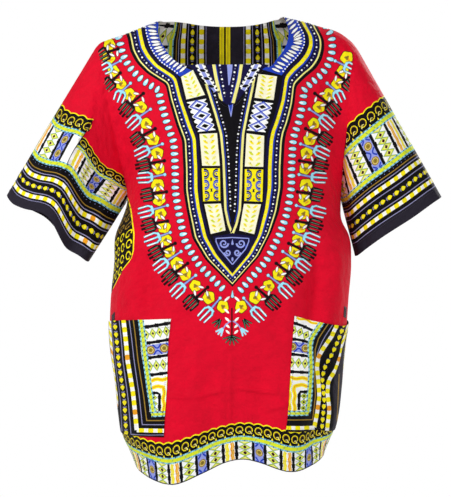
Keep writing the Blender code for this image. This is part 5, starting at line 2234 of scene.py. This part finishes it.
def back_rows(ends):
    """One half of the back's print, from its middle outwards."""
    border = stripe(*ends, -1, 96, "black") + stripe(*ends, 9.6, 32.5, "charcoal")
    border += stripe(*ends, 1.6, 9.4, "yellow") + stripe(*ends, 4.8, 5.8, "brown")
    for w in (33.5, 49.5, 67.0, 84.5):
        border += stripe(*ends, w - 0.7, w + 0.7, "grey")
    border += dashes(*ends, 41.5, 8.4) + dashes(*ends, 76.0, 8.4)
    border += drop_row(*ends, 58.5)
    border += stripe(*ends, 88.2, 89.8, "brown")
    border += braid(*ends, 95.0, 106.0, 11.0) + block_row(*ends, 106.0, 158.0, 60.0)
    border += braid(*ends, 158.0, 169.0, 11.0) + open_rings(*ends, 169.0, 196.0)
    return border


on_back = back_place()
for way in (-1, 1):
    turned_rows = []
    for shape, dye in back_rows((0.0, 716.0)):
        turned_rows.append((np.stack([BACK_MIDDLE + way * shape[:, 1], shape[:, 0]], -1), dye))
    PRINTS["back"] = laid(turned_rows, on_back) + PRINTS["back"]
print("back", len(PRINTS["back"]), "shapes")

# %% [markdown]
# Every piece is now cut, printed and put in its place. The sharpest creases get rows of points
# of their own, because they are narrower than the grid.

# %% Making the pieces
SHARP = 0.006


def crease_points(side):
    """Flat points along a body panel's sharpest creases, so that the mesh can follow them."""
    spots = []
    for row in FRONT_CREASES if side == FRONT else BACK_CREASES:
        fold = dict(zip(FOLD_COLUMNS, row))
        if fold["spread"] < SHARP:
            line = fine_line([(fold["x0"], fold["z0"]), (fold["x1"], fold["z1"])], 0.004)
            aside = normals_along(line) * fold["spread"]
            spots.extend(line + aside * share for share in (-1.7, -0.8, 0.0, 0.8, 1.7))
    spots = np.concatenate(spots)
    return flat(*place_of(spots[:, 0], spots[:, 1], side))


CREASED = {"front": crease_points(FRONT), "back": crease_points(BACK)}
made = {}
for piece_name, (piece_surface, piece_facing) in SURFACES.items():
    made[piece_name] = cloth_piece(
        piece_name + "_cloth",
        OUTLINES[piece_name],
        GROUNDS[piece_name],
        PRINTS[piece_name],
        piece_surface,
        piece_facing,
        pocket_cotton if piece_name.startswith("pocket") else wax_print,
        CREASED.get(piece_name),
    )


# %% [markdown]
# The shirt is sewn with a lockstitch in black: 4 mm from the neck's edge, along the hems and
# cuffs, down the inner side and foot of each pocket and below its mouth. A machine sets one
# stitch after another at one pitch, so one small bead is repeated along each line by Geometry
# Nodes. The bar tacks at the pockets' mouths are the same bead, wide and set close.

# %% The tree that sews along a line
STITCH_SIZES = {"Pitch": 0.0032, "Along": 0.0026, "Across": 0.0006, "High": 0.0005}
TACK_SIZES = {"Pitch": 0.0010, "Along": 0.0013, "Across": 0.0066, "High": 0.0016}


def sewing_tree():
    """A node tree that repeats one bead of thread along the edges of a mesh."""
    tree = bpy.data.node_groups.new("sewing", "GeometryNodeTree")
    special = {"Geometry": "NodeSocketGeometry", "Thread": "NodeSocketMaterial"}
    for socket in ("Geometry", "Pitch", "Along", "Across", "High", "Thread"):
        kind = special.get(socket, "NodeSocketFloat")
        tree.interface.new_socket(socket, in_out="INPUT", socket_type=kind)
    tree.interface.new_socket("Geometry", in_out="OUTPUT", socket_type="NodeSocketGeometry")
    link = tree.links.new
    given = tree.nodes.new("NodeGroupInput").outputs
    line = tree.nodes.new("GeometryNodeMeshToCurve")
    evenly = node(tree, "GeometryNodeResampleCurve", mode="LENGTH")
    link(given["Geometry"], line.inputs["Mesh"])
    link(line.outputs["Curve"], evenly.inputs["Curve"])
    link(given["Pitch"], evenly.inputs["Length"])
    bead = node(tree, "GeometryNodeMeshUVSphere", Segments=6, Rings=4, Radius=0.5)
    size = tree.nodes.new("ShaderNodeCombineXYZ")
    for axis, name in (("X", "Along"), ("Y", "Across"), ("Z", "High")):
        link(given[name], size.inputs[axis])
    shaped = tree.nodes.new("GeometryNodeTransform")
    link(bead.outputs["Mesh"], shaped.inputs["Geometry"])
    link(size.outputs["Vector"], shaped.inputs["Scale"])
    ahead = tree.nodes.new("GeometryNodeInputTangent")
    up = node(tree, "GeometryNodeInputNamedAttribute", data_type="FLOAT_VECTOR")
    up.inputs["Name"].default_value = "up"
    turned_to = node(tree, "FunctionNodeAxesToRotation", primary_axis="X", secondary_axis="Z")
    link(ahead.outputs["Tangent"], turned_to.inputs["Primary Axis"])
    link(up.outputs["Attribute"], turned_to.inputs["Secondary Axis"])
    sewn = tree.nodes.new("GeometryNodeInstanceOnPoints")
    link(evenly.outputs["Curve"], sewn.inputs["Points"])
    link(shaped.outputs["Geometry"], sewn.inputs["Instance"])
    link(turned_to.outputs["Rotation"], sewn.inputs["Rotation"])
    real = tree.nodes.new("GeometryNodeRealizeInstances")
    link(sewn.outputs["Instances"], real.inputs["Geometry"])
    dyed = tree.nodes.new("GeometryNodeSetMaterial")
    link(real.outputs["Geometry"], dyed.inputs["Geometry"])
    link(given["Thread"], dyed.inputs["Material"])
    link(dyed.outputs["Geometry"], tree.nodes.new("NodeGroupOutput").inputs["Geometry"])
    return tree


sewing = sewing_tree()
print("sewing tree", len(sewing.nodes), "nodes")

# %% [markdown]
# The thread is twisted polyester: dark, with a little more gloss than the cloth, and fine
# slanting bands where its plies turn. Each band is a bump, and its crest is painted lighter: a
# painted highlight.

# %% The thread
thread = bpy.data.materials.new("black_thread")
thread.use_nodes = True
thread_tree = thread.node_tree
thread_shader = thread_tree.nodes["Principled BSDF"]
where = node(thread_tree, "ShaderNodeTexCoord")
plies = node(thread_tree, "ShaderNodeTexWave", bands_direction="DIAGONAL", Scale=620.0)
plies.inputs["Distortion"].default_value = 1.0
thread_tree.links.new(where.outputs["Object"], plies.inputs["Vector"])
ply_shade = node(thread_tree, "ShaderNodeMix", data_type="RGBA")
ply_shade.inputs[6].default_value = ink(14, 12, 20)
ply_shade.inputs[7].default_value = ink(50, 46, 60)
thread_tree.links.new(plies.outputs["Fac"], ply_shade.inputs[0])
thread_tree.links.new(ply_shade.outputs[2], thread_shader.inputs["Base Color"])
twist = node(thread_tree, "ShaderNodeBump", Strength=0.5, Distance=0.0002)
thread_tree.links.new(plies.outputs["Fac"], twist.inputs["Height"])
thread_tree.links.new(twist.outputs["Normal"], thread_shader.inputs["Normal"])
thread_shader.inputs["Roughness"].default_value = 0.42
print("thread", thread.name)

# %% [markdown]
# Each line of sewing is drawn on the flat cloth, like the print, and put on the surface with
# the way that the cloth faces, so that every stitch lies flat on its fold.

# %% The lines of sewing
NECK_MARGIN = 0.004
HEM_MARGIN = 0.017
POCKET_MARGIN = 0.003
MOUTH_MARGIN = 0.014
THREAD_LIFT = 0.0001
TACK_LENGTH = 0.017
TACK_DROP = 0.0195
TACK_COLUMNS = (0.057, 0.064, 0.071)


def neck_seam(table, side):
    """A line inside a body panel, at the neck's margin."""
    line = flat(*place_of(*neck_curve(table), side))
    line = line + normals_along(line) * NECK_MARGIN
    return line[line[:, 1] > 0.001]


def pocket_seam(outline):
    """A line inside a pocket: down its inner side and along its foot."""
    line = fine_line([outline[0], *outline[12:][::-1]], 0.004)
    offset = normals_along(line) * POCKET_MARGIN
    middle = outline.mean(0)
    towards = np.sign(((middle - line) * offset).sum(-1).mean())
    return line + offset * towards


SEAMS = [
    ("front", neck_seam(FRONT_NECK, FRONT)),
    ("back", neck_seam(BACK_NECK, BACK)),
]
TACKS = []
hem_u = np.linspace(-0.985, 0.985, 240)
for side, name in ((FRONT, "front"), (BACK, "back")):
    SEAMS.append((name, flat(hem_u, hem_length(hem_u, side) - HEM_MARGIN)))
for half, word in ((LEFT, "left"), (RIGHT, "right")):
    cuff_a = np.linspace(-0.5, 0.5, 160) * SLEEVE_WIDTH[half]
    SEAMS.append(("sleeve_" + word, np.stack([cuff_a, np.full_like(cuff_a, HEM_MARGIN)], -1)))
    pocket = OUTLINES["pocket_" + word]
    SEAMS.append(("pocket_" + word, pocket_seam(pocket)))
    SEAMS.append(("pocket_" + word, pocket[:12] + (0, MOUTH_MARGIN)))
    for inset_by in TACK_COLUMNS:
        top = pocket[11, 1] - TACK_LENGTH + TACK_DROP
        corner = np.array([half * (FLAT_HALF - inset_by), top])
        TACKS.append(("front", np.array([corner, corner + (0, TACK_LENGTH)])))


def sew(name, lines, sizes):
    """One mesh of stitches along lines of flat cloth."""
    spots, ups, edges = [], [], []
    for piece_name, line in lines:
        surface, facing = SURFACES[piece_name]
        line = fine_line(line, 0.002)
        first = len(spots)
        spots.extend(surface(line, CLOTH / 2 + THREAD_LIFT).tolist())
        ups.extend(directions(surface, line, facing).tolist())
        edges.extend((k, k + 1) for k in range(first, len(spots) - 1))
    path = bpy.data.meshes.new(name + "_path")
    path.from_pydata(spots, edges, [])
    upwards = path.attributes.new("up", "FLOAT_VECTOR", "POINT")
    upwards.data.foreach_set("vector", np.array(ups).ravel())
    carrier = bpy.data.objects.new(name + "_path", path)
    bpy.context.scene.collection.objects.link(carrier)
    maker = carrier.modifiers.new("sewing", "NODES")
    maker.node_group = sewing
    given = [item for item in sewing.interface.items_tree if item.in_out == "INPUT"]
    sockets = {item.name: item.identifier for item in given}
    for size_name, size in sizes.items():
        maker[sockets[size_name]] = size
    maker[sockets["Thread"]] = thread
    evaluated = carrier.evaluated_get(bpy.context.evaluated_depsgraph_get())
    mesh = bpy.data.meshes.new_from_object(evaluated)
    carrier.modifiers.remove(maker)
    bpy.data.objects.remove(carrier)
    mesh.shade_smooth()
    sewn = bpy.data.objects.new(name, mesh)
    bpy.context.scene.collection.objects.link(sewn)
    triangles = sum(len(face.vertices) - 2 for face in mesh.polygons)
    print(name, len(lines), "lines", triangles, "triangles")
    return sewn


stitches = sew("stitches", SEAMS, STITCH_SIZES)
bar_tacks = sew("bar_tacks", TACKS, TACK_SIZES)

# %% [markdown]
# A plain white room: a pale floor below, a soft light high on the left, a wide fill on the
# right, another light behind, and walls that are brightest at the shirt's height, as in a
# studio for clothes. The camera stands straight in front, a long way off for the shirt's
# size, which keeps the sleeves from looking big.

# %% Camera, floor and light
lens = bpy.data.cameras.new("camera")
lens.lens = 110.8
lens.sensor_width = 36
camera = bpy.data.objects.new("camera", lens)
camera.location = EYE
camera.rotation_euler = (math.radians(90), 0, 0)
bpy.context.scene.collection.objects.link(camera)
bpy.context.scene.camera = camera


def soft_light(name, place, size, power):
    """A square soft light that faces the middle of the shirt."""
    light = bpy.data.lights.new(name, "AREA")
    light.size = size
    light.energy = power
    lamp = bpy.data.objects.new(name, light)
    lamp.location = place
    towards = Vector((0, 0, -0.38)) - Vector(place)
    lamp.rotation_euler = towards.to_track_quat("-Z", "Y").to_euler()
    bpy.context.scene.collection.objects.link(lamp)


soft_light("key", (-2.0, -1.7, 1.3), 0.7, 57)
soft_light("fill", (1.4, -2.2, 0.4), 1.0, 21)
soft_light("back_key", (1.6, 2.2, 1.2), 0.9, 58)
FLOOR_RADIUS, FLOOR_Z = 2.9, -1.35
floor_mesh = bpy.data.meshes.new("floor")
rim = dot(0.0, 0.0, FLOOR_RADIUS, 96)
floor_mesh.from_pydata([(x, y, FLOOR_Z) for x, y in rim], [], [tuple(range(96))])
floor = bpy.data.objects.new("floor", floor_mesh)
bpy.context.scene.collection.objects.link(floor)
pale = bpy.data.materials.new("pale_floor")
pale.use_nodes = True
pale_shader = pale.node_tree.nodes["Principled BSDF"]
pale_shader.inputs["Base Color"].default_value = (0.9, 0.9, 0.9, 1)
pale_shader.inputs["Roughness"].default_value = 0.8
floor_mesh.materials.append(pale)
sky = bpy.data.worlds.new("studio")
sky.use_nodes = True
sky_tree = sky.node_tree
glow = sky_tree.nodes["Background"]
glow.inputs["Color"].default_value = (1, 1, 1, 1)
look = node(sky_tree, "ShaderNodeTexCoord")
split = node(sky_tree, "ShaderNodeSeparateXYZ")
height = node(sky_tree, "ShaderNodeMath", operation="ABSOLUTE")
dim = between_values(sky_tree, 1.0, 0.10, 0.17, 0.26)
sky_tree.links.new(look.outputs["Generated"], split.inputs["Vector"])
sky_tree.links.new(split.outputs["Z"], height.inputs[0])
sky_tree.links.new(height.outputs["Value"], dim.inputs["Value"])
sky_tree.links.new(dim.outputs["Result"], glow.inputs["Strength"])
bpy.context.scene.world = sky
bpy.context.scene.view_settings.view_transform = "Standard"
print("camera at", EYE)

# %% [markdown]
# Last, every piece and both meshes of stitches hang from the frame's root, and the imported solid
# that each piece stands for is hidden. The area of each piece's flat cloth is worked out but not
# kept.


def flat_area(outline):
    """The area inside a closed outline."""
    x, y = outline[:, 0], outline[:, 1]
    return abs(np.dot(x, np.roll(y, -1)) - np.dot(y, np.roll(x, -1))) / 2


for piece_name, piece in made.items():
    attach(piece, "root")
    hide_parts(piece_name)
    float(flat_area(OUTLINES[piece_name]))
for seam in (stitches, bar_tacks):
    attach(seam, "root")
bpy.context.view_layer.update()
